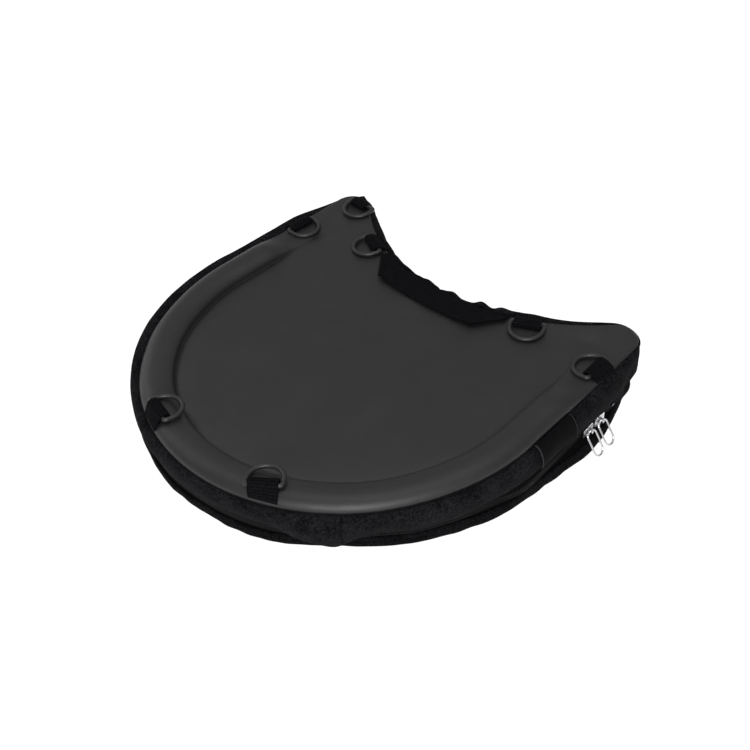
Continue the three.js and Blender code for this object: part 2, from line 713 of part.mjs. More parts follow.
// The turn of the fold, the layer under it and the end in the seam, on the side of sign.
function strapEnd(sign) {
  const frontEnd = new THREE.Vector2(sign * STRAP_FRONT_HALF_SPAN, STRAP_FRONT_Y);
  const rearEnd = new THREE.Vector2(sign * STRAP_HALF_SPAN, strapRearY);
  const push = new THREE.Vector2(sign * foldPush.x, foldPush.y);
  const turnZ = foldZ - CLEAR / 2;
  const underZ = foldZ - CLEAR;
  const tabX = STRAP_HALF_SPAN - STRAP_WIDTH;
  const tabInner = new THREE.Vector2(sign * tabX, seamY(tabX));
  const tabOuter = new THREE.Vector2(sign * STRAP_HALF_SPAN, seamY(STRAP_HALF_SPAN));
  return [
    strapCross(frontEnd, rearEnd, turnZ, turnZ, push),
    strapCross(frontEnd, rearEnd, underZ, underZ - STRAP_THICK, noPush),
    strapCross(tabInner, tabOuter, rimFoot + STRAP_THICK, rimFoot, noPush),
  ];
}

function strapGeometry() {
  const lines = [...strapEnd(-1).reverse(), ...STRAP_SHARES.map(strapLine), ...strapEnd(1)];
  const points = lines.flat();
  const triangles = [
    [0, 2, 1],
    [0, 3, 2],
  ];
  for (let i = 0; i + 1 < lines.length; i++) {
    for (let j = 0; j < 4; j++) {
      const a = 4 * i + j;
      const b = 4 * i + ((j + 1) % 4);
      triangles.push([a, b, b + 4], [a, b + 4, a + 4]);
    }
  }
  const last = 4 * (lines.length - 1);
  triangles.push([last, last + 1, last + 2], [last, last + 2, last + 3]);
  return geometryFrom(points, triangles);
}

addPiece("carry_handle", strapGeometry(), WEBBING);

// Zip slider: two plates joined by a neck that runs in the parting line, with an eyed lug in front.
const plateBack = coilInner - CLEAR - SLIDER_PLATE;
const plateFront = coilOuter + CLEAR;
const plateFace = plateFront + SLIDER_PLATE;
const eyeBore = PULL_WIRE / 2 + CLEAR;
const eyeOut = plateFace + eyeBore + CLEAR;
const lugHalf = eyeBore + LUG_WALL;

function sliderPlate(d) {
  const shape = new THREE.Shape();
  shape.moveTo(-SLIDER_LENGTH / 2, -SLIDER_TAIL / 2);
  shape.lineTo(SLIDER_LENGTH / 4, -SLIDER_WIDTH / 2);
  shape.quadraticCurveTo(SLIDER_LENGTH / 2, -SLIDER_WIDTH / 2, SLIDER_LENGTH / 2, 0);
  shape.quadraticCurveTo(SLIDER_LENGTH / 2, SLIDER_WIDTH / 2, SLIDER_LENGTH / 4, SLIDER_WIDTH / 2);
  shape.lineTo(-SLIDER_LENGTH / 2, SLIDER_TAIL / 2);
  shape.closePath();
  const geometry = new THREE.ExtrudeGeometry(shape, {
    depth: SLIDER_PLATE,
    bevelEnabled: false,
    curveSegments: PLATE_STEPS,
  });
  return geometry.rotateX(Math.PI / 2).translate(0, -d, 0);
}

function sliderLug() {
  const root = plateFace - SLIDER_PLATE / 2;
  const shape = new THREE.Shape();
  shape.moveTo(root, -lugHalf);
  shape.lineTo(eyeOut, -lugHalf);
  shape.absarc(eyeOut, 0, lugHalf, -Math.PI / 2, Math.PI / 2, false);
  shape.lineTo(root, lugHalf);
  shape.closePath();
  shape.holes.push(new THREE.Path().absarc(eyeOut, 0, eyeBore, 0, 2 * Math.PI, true));
  const geometry = new THREE.ExtrudeGeometry(shape, {
    depth: LUG_WIDTH,
    bevelEnabled: false,
    curveSegments: LUG_STEPS,
  });
  const outward = new THREE.Vector3(0, -1, 0);
  const up = new THREE.Vector3(0, 0, 1);
  const along = new THREE.Vector3(-1, 0, 0);
  geometry.applyMatrix4(new THREE.Matrix4().makeBasis(outward, up, along));
  return geometry.translate(LUG_WIDTH / 2, 0, 0);
}

function sliderGeometry() {
  const neckDepth = plateFace - plateBack - SLIDER_PLATE;
  const neck = new THREE.BoxGeometry(NECK_LENGTH, neckDepth, NECK_THICK);
  neck.translate(0, -(plateFace + plateBack) / 2, 0);
  const pieces = [sliderPlate(plateFront), sliderPlate(plateBack), sliderLug(), neck].map(solidFrom);
  return geometryOf(pieces.reduce((whole, piece) => whole.add(piece)));
}

// A wire pull with its top on the X axis, hanging towards -Y.
function pullPath() {
  const half = PULL_WIDTH / 2;
  const path = new THREE.Path();
  path.moveTo(half - PULL_CORNER, 0);
  path.lineTo(PULL_CORNER - half, 0);
  path.quadraticCurveTo(-half, 0, -half, -PULL_CORNER);
  path.lineTo(-half, half - PULL_LENGTH);
  path.absarc(0, half - PULL_LENGTH, half, Math.PI, 2 * Math.PI, false);
  path.lineTo(half, -PULL_CORNER);
  path.quadraticCurveTo(half, 0, half - PULL_CORNER, 0);
  return path;
}

function addSlider(place, y, turned) {
  const group = groupAt(alongSide(y), zipZ);
  const slider = addPiece("zip_slider_" + place, sliderGeometry(), SILVER, group);
  slider.rotation.y = turned ? Math.PI : 0;
  const hanger = new THREE.Group();
  hanger.position.set(0, -eyeOut, 0);
  hanger.rotation.x = Math.PI / 2 - degrees(PULL_TILT);
  group.add(hanger);
  addPiece("zip_pull_" + place, closedWire(pullPath(), PULL_WIRE / 2), SILVER, hanger);
}

addSlider("front", FRONT_SLIDER_Y, false);
addSlider("rear", REAR_SLIDER_Y, true);

export default part;
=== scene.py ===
"""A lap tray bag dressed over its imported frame: a padded tray on a soft zip bag. Metres, +Z up."""
import json
import math

import bmesh
import bpy
import numpy as np
from mathutils import Matrix, Vector
from mathutils.geometry import delaunay_2d_cdt

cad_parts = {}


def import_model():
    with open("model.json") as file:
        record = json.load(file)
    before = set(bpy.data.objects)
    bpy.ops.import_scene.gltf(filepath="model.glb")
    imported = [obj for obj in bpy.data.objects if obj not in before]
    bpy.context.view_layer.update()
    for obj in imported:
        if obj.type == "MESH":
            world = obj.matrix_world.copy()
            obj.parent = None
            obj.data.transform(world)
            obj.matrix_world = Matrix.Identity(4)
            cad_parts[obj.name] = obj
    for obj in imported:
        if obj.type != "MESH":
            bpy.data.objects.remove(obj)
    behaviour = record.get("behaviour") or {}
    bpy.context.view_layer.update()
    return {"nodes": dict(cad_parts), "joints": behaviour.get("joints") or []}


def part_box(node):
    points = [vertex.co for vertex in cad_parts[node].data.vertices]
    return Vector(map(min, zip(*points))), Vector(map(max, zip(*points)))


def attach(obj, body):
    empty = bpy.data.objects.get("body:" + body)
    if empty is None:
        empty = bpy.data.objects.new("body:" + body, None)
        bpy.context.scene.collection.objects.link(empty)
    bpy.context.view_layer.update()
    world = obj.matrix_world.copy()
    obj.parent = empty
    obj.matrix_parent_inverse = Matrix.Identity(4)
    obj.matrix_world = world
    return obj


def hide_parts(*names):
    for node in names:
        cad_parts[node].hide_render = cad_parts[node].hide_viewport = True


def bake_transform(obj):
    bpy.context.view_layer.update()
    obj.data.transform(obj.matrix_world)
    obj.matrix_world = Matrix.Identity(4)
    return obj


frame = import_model()

MM = 0.001

# Outline of the seam between the tray and its bands.
FRONT_RADIUS = 186 * MM
HORN_X = 160 * MM
HORN_Y = 152 * MM
HORN_RADIUS = 20 * MM
WAIST_Y = 106 * MM
OUTLINE_STEP = 0.5 * MM

# Heights.
TRAY_Z = 56 * MM
UPPER_HEIGHT = 27 * MM
UPPER_HEM_Z = TRAY_Z - UPPER_HEIGHT
LOWER_HEIGHT = 14 * MM
ZIP_Z = 21.5 * MM

# Tray skin: a padded rim that fades out towards the horns.
SKIN_THICK = 1.8 * MM
SKIN_INSET = 0.3 * MM
SKIN_RISE = 0.3 * MM
SKIN_STEP = 3 * MM
SKIN_GRID = 4 * MM
RIM_WIDTH = 30 * MM
RIM_HEIGHT = 9 * MM
RIM_FOOT = 0.8 * MM
RIM_CREST = 13 * MM
RIM_WALL = 2.2
RIM_RIGHT_END_Y = 90 * MM
RIM_LEFT_END_Y = 77 * MM
RIM_FALL = 40 * MM
RIM_TAIL = 36 * MM
RIM_TAIL_SHARE = 0.16
RIM_SIDE_SHARE = 0.75
DISH_DEPTH = 1.7 * MM
DISH_WIDTH = 5 * MM
EDGE_ROLL = 2.6 * MM
EDGE_PAD = 0.9 * MM
EDGE_PAD_FADE = (4 * MM, 26 * MM)
EDGE_DIP = 0.8 * SKIN_THICK
DIMPLES = [(-146.1 * MM, 101.6 * MM, 2.0 * MM), (145.3 * MM, 131.8 * MM, 1.8 * MM)]
DIMPLE_SIZE = 10 * MM
EDGE_RINGS = np.array([0.6, 1.0, 1.6, 2.4, 3.4, 4.6, 6, 7.5, 9, 10.5, 12]) * MM
RIM_RINGS = MM * np.array(
    [14, 16, 18, 20, 22, 24, 25.4, 26.6, 27.6, 28.4, 29, 29.4]
    + [29.7, 29.9, 30, 30.2, 30.6, 31.2, 32, 33, 34.5, 36.5, 39, 42]
)

# Bands: how far they swell past the seam, and how their section bends at its shoulder and belly.
UPPER_CREST = 2.4 * MM
UPPER_SWELL = 9.5 * MM
UPPER_EDGE = 6 * MM
UPPER_THICK = 2.5 * MM
UPPER_STEPS = 26
ROOT_DIP = 0.4
SHOULDER_OUT = 0.6
SHOULDER_DRIFT = 0.7
SHOULDER_RISE = 3.1
BELLY_OUT = 1.4
BELLY_DRIFT = 0.5
BELLY_DROP = 0.37
LOWER_SWELL = 5.5 * MM
LOWER_EDGE = 5.6 * MM
LOWER_THICK = 2 * MM
LOWER_TUCK = 2 * MM
LOWER_FOOT_Z = 0.2 * MM
LOWER_FOOT_OUT = 0.8
LOWER_STEPS = 18
BAND_STEP = 2 * MM
BAND_SEAM_ANGLE = 41.5
SEAM_DEPTH = 0.9 * MM
SEAM_GAP = 0.25 * MM
SEAM_SINK = 1.6 * MM
SEAM_TUCK = 1.2 * MM
END_TUCK = 1.8 * MM
END_TUCK_WIDTH = 2 * MM
HEM_STEPS = 4
HEM_HOLD = 0.4
WAIST_STAND_OFF = 0.25 * MM
WAIST_FADE = (70 * MM, 120 * MM)
PUCKER_HEIGHT = 2.2 * MM
PUCKER_LENGTH = 10 * MM

# Flat cloth and the bead filling.
PANEL_RINGS = (4 * MM, 9 * MM)
PANEL_STEP = 5 * MM
PANEL_GRID = 8 * MM
RIPPLE_FADE = 20 * MM
BED_INSET = -1.6 * MM
BED_FOOT_INSET = 5 * MM
BED_EDGE_Z = 13.3 * MM
BED_CROWN = 6.5 * MM
BED_CROWN_REACH = 90 * MM
BED_BOTTOM_Z = 2.2 * MM
BED_RINGS = np.array([1, 5, 10, 16]) * MM
BED_STEP = 4 * MM
BED_GRID = 6 * MM

# Zip.
TAPE_DEPTH = 3.3 * MM
TAPE_THICK = 0.8 * MM
TAPE_TUCK = 7 * MM
TAPE_STEP = 3 * MM
TAPE_ROWS = 13
TAPE_WAVE = 6 * MM
COIL_START = 0.7 * MM
COIL_WIDTH = 2.5 * MM
COIL_END = COIL_START + COIL_WIDTH
COIL_THICK = 2.4 * MM
ZIP_GAP = 0.3 * MM
COIL_FREE = 3.5 * MM
ZIP_END_Y = 116 * MM
TOOTH_PITCH = 1.7 * MM
TOOTH_LENGTH = 1.0 * MM
TOOTH_LAP = 0.35 * MM
TOOTH_SIDES = 8
TOOTH_SQUARE = 0.6
TOOTH_RINGS = ((-0.5, 0.7), (-0.3, 1), (0.3, 1), (0.5, 0.7))
LEDGE_RISE = 4 * MM
SLIDER_FROM_S = 292 * MM
SLIDER_TO_S = 416 * MM
SLIDER_EASE = 30 * MM
SLIDER_LEDGE_RISE = 1.2 * MM
SLIDER_TOP_FREE = 2.2 * MM
GUSSET_TUCK = 4 * MM
GUSSET_STEP = 2.5 * MM
GUSSET_SAG = 0.3 * MM
PULL_WIRE = 1.8 * MM
PULL_LENGTH = 23 * MM
PULL_WIDTH = 11 * MM
PULL_CORNER = 0.75
PULL_STEP = 0.5 * MM
PULL_TILT = math.radians(32)

# Stitches.
STITCH_PITCH = 3.6 * MM
STITCH_LENGTH = 2.7 * MM
STITCH_RADIUS = 0.3 * MM
STITCH_SIDES = 6
STITCH_RINGS = ((-1, 0.35, -0.9), (-0.75, 0.9, -0.2), (0, 1, 0.25), (0.75, 0.9, -0.2), (1, 0.35, -0.9))
HEM_SHARES = (0.86, 0.91, 0.96)

# Rings and webbing.
WIRE_SIDES = 16
CORNER_STEPS = 9
FULL_ROUND = 0.999
RING_WIRE = 4 * MM
RING_INNER_WIDTH = 25 * MM
RING_REACH = 21 * MM
RING_CORNER = 2.45 * MM
RING_STEP = 0.8 * MM
RING_SHOULDER = 3 * MM
RING_SHOULDER_SWELL = 0.10
RING_CLEAR = 0.3 * MM
RING_PLACES = (
    "front_right", "front_left", "side_right", "side_left", "waist_right", "waist_left", "horn_left"
)
SELVEDGE_STEPS = 4
WEB_THICK = 1.3 * MM
LOOP_THICK = 0.96 * WEB_THICK
LOOP_WIDTH = 24 * MM
LOOP_REACH = 21.6 * MM
LOOP_ROOT = 0.4 * MM
LOOP_LEAST = 4 * MM
LOOP_SLACK = 3 * MM
LOOP_REST = 0.5 * MM
LOOP_LAP = 1.05 * WEB_THICK
LOOP_TURN_FROM = math.radians(-80)
LOOP_LEAST_TURN = 0.05
LOOP_ROWS = 46
LOOP_EASING = 2
LOOP_COLUMNS = 13
STRAP_WIDTH = 25 * MM
STRAP_THICK = 1.5 * MM
STRAP_HALF_SPAN = 74 * MM
STRAP_FRONT_HALF_SPAN = 54 * MM
STRAP_FRONT_Y = 85 * MM
STRAP_LIFT = 2.2 * MM
STRAP_FOLD_LIFT = 4.5 * MM
STRAP_SEAM_GAP = 1.2 * MM
STRAP_ROOT = 0.4 * MM
STRAP_BOW = 4 * MM
STRAP_REAR_BOW = 1.4 * STRAP_BOW
STRAP_DIP = 2.5 * MM
STRAP_SWAY = 0.8 * MM
STRAP_SWAYS = 2.2
STRAP_REAR_SWAY = -0.6 * STRAP_SWAY
STRAP_ROWS = 90
STRAP_COLUMNS = 15
FOLD_GAP = 0.3 * MM
FOLD_ROWS = 7
TAB_ROWS = 14

# Sewn-in tab.
TAB_FROM_Y = 8 * MM
TAB_TO_Y = 53 * MM
TAB_THICK = 0.9 * MM
TAB_STAND_OFF = 1.0 * MM
TAB_STEP = 1.5 * MM
TAB_SHARES = (0.1, 0.84)
TAB_FREE_FROM = 0.4
TAB_DROP_ROWS = 18
TAB_LIFT = 0.9 * MM
TAB_END_LIFT = 1.0 * MM
TAB_WAVE = 0.3 * MM
TAB_WAVES = 9
LABEL_BORDER = 0.9 * MM


# Lines and normals.

def unit(vectors):
    return vectors / np.linalg.norm(vectors, axis=-1, keepdims=True)


def right_of(vectors):
    return np.stack([vectors[..., 1], -vectors[..., 0]], axis=-1)


def running_length(points):
    return np.concatenate([[0], np.cumsum(np.linalg.norm(np.diff(points, axis=0), axis=1))])


def read_along(at, run, values):
    """Rows of values (n, k) at places along their run."""
    return np.stack([np.interp(at, run, column) for column in values.T], axis=-1)


def steps_between(start, end, step):
    return np.linspace(start, end, max(2, round((end - start) / step) + 1))


def full_turn(count):
    return np.linspace(0, 2 * math.pi, count, endpoint=False)


def smooth_step(value, start, end):
    share = np.clip((value - start) / (end - start), 0, 1)
    return share * share * (3 - 2 * share)


def bump(value, centre, width):
    return np.exp(-(((value - centre) / width) ** 2))


# Outline.

def arc(centre, radius, start, end, facing):
    """Points and outward normals along an arc."""
    count = max(2, round(abs(end - start) * radius / OUTLINE_STEP))
    angle = np.linspace(start, end, count, endpoint=False)
    normal = np.stack([np.cos(angle), np.sin(angle)], axis=1)
    return np.array(centre) + radius * normal, facing * normal


reach = math.hypot(HORN_X, HORN_Y)
lean = math.atan2(HORN_Y, HORN_X) - math.acos((FRONT_RADIUS - HORN_RADIUS) / reach)
waist_depth = HORN_Y - WAIST_Y
waist_radius = (HORN_X**2 + waist_depth**2 - HORN_RADIUS**2) / (2 * (HORN_RADIUS + waist_depth))
waist_centre_y = WAIST_Y + waist_radius
horn_turn = math.atan2(waist_centre_y - HORN_Y, -HORN_X)
side_normal = np.array([math.cos(lean), math.sin(lean)])
side_start = FRONT_RADIUS * side_normal
side_end = np.array([HORN_X, HORN_Y]) + HORN_RADIUS * side_normal
side_length = np.linalg.norm(side_end - side_start)
front_length = FRONT_RADIUS * (math.pi / 2 + lean)


def right_half():
    """Points and normals from the middle of the front, round the right horn, to the middle of the waist."""
    front, front_n = arc((0, 0), FRONT_RADIUS, -math.pi / 2, lean, 1)
    share = np.linspace(0, 1, round(side_length / OUTLINE_STEP), endpoint=False)[:, None]
    side = side_start + share * (side_end - side_start)
    side_n = np.repeat(side_normal[None], len(side), axis=0)
    horn, horn_n = arc((HORN_X, HORN_Y), HORN_RADIUS, lean, horn_turn, 1)
    waist, waist_n = arc((0, waist_centre_y), waist_radius, horn_turn - math.pi, -math.pi / 2, -1)
    return np.concatenate([front, side, horn, waist]), np.concatenate([front_n, side_n, horn_n, waist_n])


half_points, half_normals = right_half()
middle = np.array([[0, WAIST_Y]])
mirror = np.array([-1, 1])
seam_points = np.concatenate([half_points, middle, half_points[:0:-1] * mirror, half_points[:1]])
seam_normals = np.concatenate([half_normals, [[0, 1]], half_normals[:0:-1] * mirror, half_normals[:1]])
seam_s = running_length(seam_points)
perimeter = seam_s[-1]
waist_s = perimeter / 2


def on_seam(s):
    """Places and outward normals at distances s round the seam, from the middle of the front."""
    s = np.mod(s, perimeter)
    return read_along(s, seam_s, seam_points), unit(read_along(s, seam_s, seam_normals))


def round_seam(count):
    return np.linspace(0, perimeter, count, endpoint=False)


def along_side(y):
    return front_length + side_length * (y - side_start[1]) / (side_end[1] - side_start[1])


band_seam_s = FRONT_RADIUS * math.radians(BAND_SEAM_ANGLE)
zip_end_s = along_side(ZIP_END_Y)


def before_horns(s, share=1):
    """Whether places lie on the front or on the first share of a side."""
    s = np.mod(s, perimeter)
    return np.minimum(s, perimeter - s) < front_length + side_length * share


DRIFT_STEPS = 1400
DRIFT_SPREAD = 14


def drift_along(*knots):
    """A shift that changes smoothly round the seam, from pairs of s and shift in millimetres."""
    s, shift = np.array(knots).T * MM
    grid = round_seam(DRIFT_STEPS)
    rough = np.interp(grid, s, shift, period=perimeter)
    spread = bump(np.arange(-DRIFT_SPREAD, DRIFT_SPREAD + 1), 0, DRIFT_SPREAD / 2)
    smooth = np.convolve(np.pad(rough, DRIFT_SPREAD, "wrap"), spread / spread.sum(), "valid")
    return lambda at: np.interp(at, grid, smooth, period=perimeter)


# The bag lies a little askew under the tray: drawn in at the front, let out at the right rear.
edge_drift = drift_along(
    (-110, 0), (-150, -1.5), (-180, -2.2), (-220, -4), (-260, -4.6), (-300, -5), (-330, -4.2), (-370, -3.5),
    (-410, -2), (-440, -1.5), (-470, 0), (440, 0), (350, 0.8), (320, 0), (260, -0.4), (220, -1), (200, -0.8),
    (160, 0), (130, 0),
)
hem_drift = drift_along(
    (-150, 0), (-56, -3.5), (-12, -7), (37, -9), (80, -10), (100, -4), (131, -1), (140, -7), (160, -10),
    (190, -6), (250, -6), (292, -3), (361, 0), (405, 0.7), (440, -3), (468, -7), (500, -5), (560, 0),
)
hem_drop = drift_along((70, 0), (105, 3), (130, 5.5), (140, 3), (165, 0))
swell_drift = drift_along(
    (-100, 0), (-150, 2), (-200, 4), (-300, 2.5), (-400, 2), (-430, -3), (-455, -7), (-488, -6), (-510, -2.5),
    (-535, -1), (-560, -2.5), (-590, -4.5), (-620, -4.5),
    (653, -4), (600, -2), (560, 0), (500, -3), (470, -7.5), (442, -6), (415, -2), (395, 0),
)
crest_drift = drift_along(
    (-60, -1), (-120, 1), (-180, 2.5), (-300, 3), (-395, 2.5), (-425, 0), (-450, -2.4), (-490, -2.4),
    (-515, -0.5), (-545, 1.2), (-570, 0.8), (-590, 0.3), (-610, 0.2),
    (653, 0), (623, 0.6), (592, 1.6), (560, 1.8), (530, 0.5), (500, 0), (470, -1.6), (440, -1.2), (400, -0.6),
    (330, -0.8), (250, -1.4), (130, -1.8), (0, -1.6),
)
lower_drift = drift_along(
    (-280, 0), (-200, 2), (-140, 4), (-108, 3), (-84, -0.8), (-31, -4.6), (5, -9), (67, -12), (90, -15),
    (110, -18), (144, -18.5), (175, -16), (209, -13.5), (240, -10), (277, -3.5), (310, -0.8), (340, 4),
    (365, 8.5), (385, 6), (410, 0), (435, -8), (470, -12), (500, -8), (560, 0),
)


def lower_hem_drift(s):
    """Shift of the lower band's hem, less than its belly's where the bag is let out."""
    drift = lower_drift(s)
    return drift - HEM_HOLD * np.maximum(drift, 0)


def zip_drift(s, z):
    """Shift of the cloth between the bands: with each band at its hem, and straight where the sliders run."""
    entered = smooth_step(s, SLIDER_FROM_S - SLIDER_EASE, SLIDER_FROM_S)
    straight = entered * (1 - smooth_step(s, SLIDER_TO_S, SLIDER_TO_S + SLIDER_EASE))
    low, high = lower_hem_drift(s), hem_drift(s)
    coil = (1 - straight) * (low + high) / 2
    ledge = LEDGE_RISE + (SLIDER_LEDGE_RISE - LEDGE_RISE) * straight
    rise = np.clip((z - LOWER_HEIGHT) / ledge, 0, 1)
    coil_top = ZIP_Z + COIL_FREE + SLIDER_TOP_FREE * straight
    fall = np.clip((z - coil_top) / (UPPER_HEM_Z - coil_top), 0, 1)
    return low + (coil - low) * rise + (high - coil) * fall


NOISE_SIZE = 64
NOISE_SHIFT = (17.3, 5.7)
noise_table = np.random.default_rng(7).uniform(-1, 1, (NOISE_SIZE, NOISE_SIZE))


def soft_noise(u, v, shift=0):
    """Smooth noise from -1 to 1, with one bump to a unit."""
    u, v = np.broadcast_arrays(u + NOISE_SHIFT[0] * shift, v + NOISE_SHIFT[1] * shift)
    iu, iv = np.floor(u).astype(int), np.floor(v).astype(int)
    fu, fv = smooth_step(u - iu, 0, 1), smooth_step(v - iv, 0, 1)
    at = lambda a, b: noise_table[(iu + a) % NOISE_SIZE, (iv + b) % NOISE_SIZE]
    low = at(0, 0) * (1 - fu) + at(1, 0) * fu
    high = at(0, 1) * (1 - fu) + at(1, 1) * fu
    return low * (1 - fv) + high * fv


def waves(s, t, height, length, rows, shift):
    """Waves in a strip of cloth: their height, their length along it and how many fit across it."""
    return height * soft_noise(s[:, None] / length, t[None] * rows, shift)


def lumps(points, height, size, shift):
    return height * soft_noise(points[:, 0] / size, points[:, 1] / size, shift)


# Meshes.

def make_object(name, points, faces, corner_uv=None):
    mesh = bpy.data.meshes.new(name)
    mesh.from_pydata(np.asarray(points, float).tolist(), [], faces)
    if corner_uv is not None:
        layer = mesh.uv_layers.new(name="metres")
        layer.data.foreach_set("uv", np.asarray(corner_uv, np.float32).ravel())
    made = bpy.data.objects.new(name, mesh)
    bpy.context.scene.collection.objects.link(made)
    work = bmesh.new()
    work.from_mesh(mesh)
    bmesh.ops.recalc_face_normals(work, faces=work.faces)
    work.to_mesh(mesh)
    work.free()
    mesh.polygons.foreach_set("use_smooth", [True] * len(mesh.polygons))
    return made


def lengths_along(points, axis):
    """Running length along an axis of a grid of points, averaged over the other axis."""
    steps = np.linalg.norm(np.diff(points, axis=axis), axis=2).mean(axis=1 - axis)
    return np.concatenate([[0], np.cumsum(steps)])


def grid_object(name, grid, close_rows=False):
    """A tube through rows of points. Its UVs are lengths in metres. Open rows get flat end caps."""
    rows, columns = grid.shape[:2]
    whole = np.concatenate([grid, grid[:1]]) if close_rows else grid
    whole = np.concatenate([whole, whole[:, :1]], axis=1)
    u, v = lengths_along(whole, 0), lengths_along(whole, 1)
    faces, uv = [], []
    for i in range(len(whole) - 1):
        for j in range(columns):
            corners = [(i, j), (i + 1, j), (i + 1, j + 1), (i, j + 1)]
            faces.append([(a % rows) * columns + b % columns for a, b in corners])
            uv += [(u[a], v[b]) for a, b in corners]
    for row in () if close_rows else (0, rows - 1):
        faces.append([row * columns + j for j in range(columns)])
        uv += [(u[row], v[j]) for j in range(columns)]
    return make_object(name, grid.reshape(-1, 3), faces, uv)


def row_of_tubes(name, rings, threaded=False):
    """Many small tubes with flat ends as one piece, from their rings of points (tubes, rings, sides, 3)."""
    tubes, count, sides = rings.shape[:3]
    faces = []
    for tube in range(tubes):
        first = tube * count * sides
        last = first + (count - 1) * sides
        for ring in range(first, last, sides):
            for k in range(sides):
                a, b = ring + k, ring + (k + 1) % sides
                faces.append([a, b, b + sides, a + sides])
        faces += [list(range(end, end + sides)) for end in (first, last)]
    uv = np.zeros((sum(len(face) for face in faces), 2)) if threaded else None
    return make_object(name, rings.reshape(-1, 3), faces, uv)


def swept(s, section):
    """Points at distances s round the seam, from depths past it and heights (len(s), n, 2)."""
    place, normal = on_seam(s)
    xy = place[:, None] + normal[:, None] * section[..., :1]
    return np.concatenate([xy, section[..., 1:]], axis=2)


def closed_section(outer, thick, side):
    """Closes outer lines (m, n, 2) with inner ones, thick away, and a round hem at their far ends."""
    along = unit(np.gradient(outer, axis=1))
    across = side * right_of(along)
    inner = outer + thick * across
    turn = np.linspace(0, math.pi, HEM_STEPS + 2)[None, 1:-1, None]
    centre = (outer[:, -1:] + inner[:, -1:]) / 2
    hem = centre + thick / 2 * (np.sin(turn) * along[:, -1:] - np.cos(turn) * across[:, -1:])
    return np.concatenate([outer, hem, inner[:, ::-1]], axis=1)


def pushed(outer, amount, side=1):
    """Section lines moved out along their own normals by amounts (m, n)."""
    return outer - side * right_of(unit(np.gradient(outer, axis=1))) * amount[..., None]


def bezier(s, t, *corners):
    """Points at t on cubic curves, one for each s, from the depths and heights of their four corners."""
    weights = [(1 - t) ** 3, 3 * (1 - t) ** 2 * t, 3 * (1 - t) * t**2, t**3]
    lines = [np.stack(np.broadcast_arrays(depth + 0 * s, z + 0 * s), axis=1) for depth, z in corners]
    return sum(weight[None, :, None] * line[:, None] for weight, line in zip(weights, lines))


# Materials.

MATERIALS = {}


class Surface:
    """A material in the making, with its shader."""

    def __init__(self, name, **sockets):
        self.material = MATERIALS[name] = bpy.data.materials.new(name)
        self.material.use_nodes = True
        self.nodes = self.material.node_tree.nodes
        self.shader = self.nodes["Principled BSDF"]
        self.place = self.node("ShaderNodeTexCoord").outputs["Object"]
        self.shade(**sockets)

    def put(self, socket, value):
        """Gives a socket a value, or links another node's output to it."""
        if isinstance(value, bpy.types.NodeSocket):
            self.material.node_tree.links.new(value, socket)
        else:
            socket.default_value = value

    def node(self, kind, inputs=None, **settings):
        made = self.nodes.new(kind)
        for name, value in settings.items():
            setattr(made, name, value)
        for name, value in (inputs or {}).items():
            self.put(made.inputs[name], value)
        return made

    def shade(self, **sockets):
        for name, value in sockets.items():
            self.put(self.shader.inputs[name.replace("_", " ")], value)

    def cloth_place(self):
        return self.node("ShaderNodeUVMap", uv_map="metres").outputs["UV"]

    def ramp(self, factor, low, high, start=0.3, end=0.7):
        """A colour between low and high, as factor goes from start to end."""
        made = self.node("ShaderNodeValToRGB", {"Fac": factor})
        for element, place, colour in zip(made.color_ramp.elements, (start, end), (low, high)):
            element.position = place
            element.color = (*colour, 1)
        return made.outputs["Color"]

    def between(self, factor, low, high):
        inputs = {"Value": factor, "To Min": low, "To Max": high}
        return self.node("ShaderNodeMapRange", inputs).outputs["Result"]

    def maths(self, operation, first, second):
        return self.node("ShaderNodeMath", {0: first, 1: second}, operation=operation).outputs[0]

    def noise(self, scale, detail=3):
        inputs = {"Vector": self.place, "Scale": scale, "Detail": detail}
        return self.node("ShaderNodeTexNoise", inputs).outputs["Fac"]

    def emboss(self, height, strength, distance):
        inputs = {"Height": height, "Strength": strength, "Distance": distance}
        self.shade(Normal=self.node("ShaderNodeBump", inputs).outputs["Normal"])


def leatherette(name, dark, light):
    made = Surface(name, Specular_IOR_Level=0.5)
    inputs = {"Vector": made.place, "Scale": 820}
    cells = made.node("ShaderNodeTexVoronoi", inputs, feature="DISTANCE_TO_EDGE").outputs["Distance"]
    pores = made.maths("MULTIPLY", made.noise(scale=2400), 0.35)
    grain = made.maths("ADD", made.maths("MINIMUM", cells, 0.35), pores)
    cloud = made.noise(scale=26, detail=4)
    smears = made.noise(scale=140, detail=5)
    made.shade(Base_Color=made.ramp(cloud, dark, light), Roughness=made.between(smears, 0.38, 0.50))
    made.emboss(grain, strength=0.5, distance=0.3 * MM)


def felt(name, dark, light):
    made = Surface(name, Specular_IOR_Level=0.015, Sheen_Weight=0.008, Sheen_Roughness=0.6)
    fibres = made.noise(scale=1500, detail=4)
    lint = made.noise(scale=520, detail=6)
    worn = made.maths("ADD", made.noise(scale=60, detail=4), 0.5)
    mixed = made.maths("MULTIPLY", lint, worn)
    made.shade(Base_Color=made.ramp(mixed, dark, light, start=0.33, end=0.72))
    made.shade(Roughness=made.between(fibres, 0.78, 1.0))
    made.emboss(made.maths("ADD", fibres, lint), strength=0.6, distance=0.4 * MM)


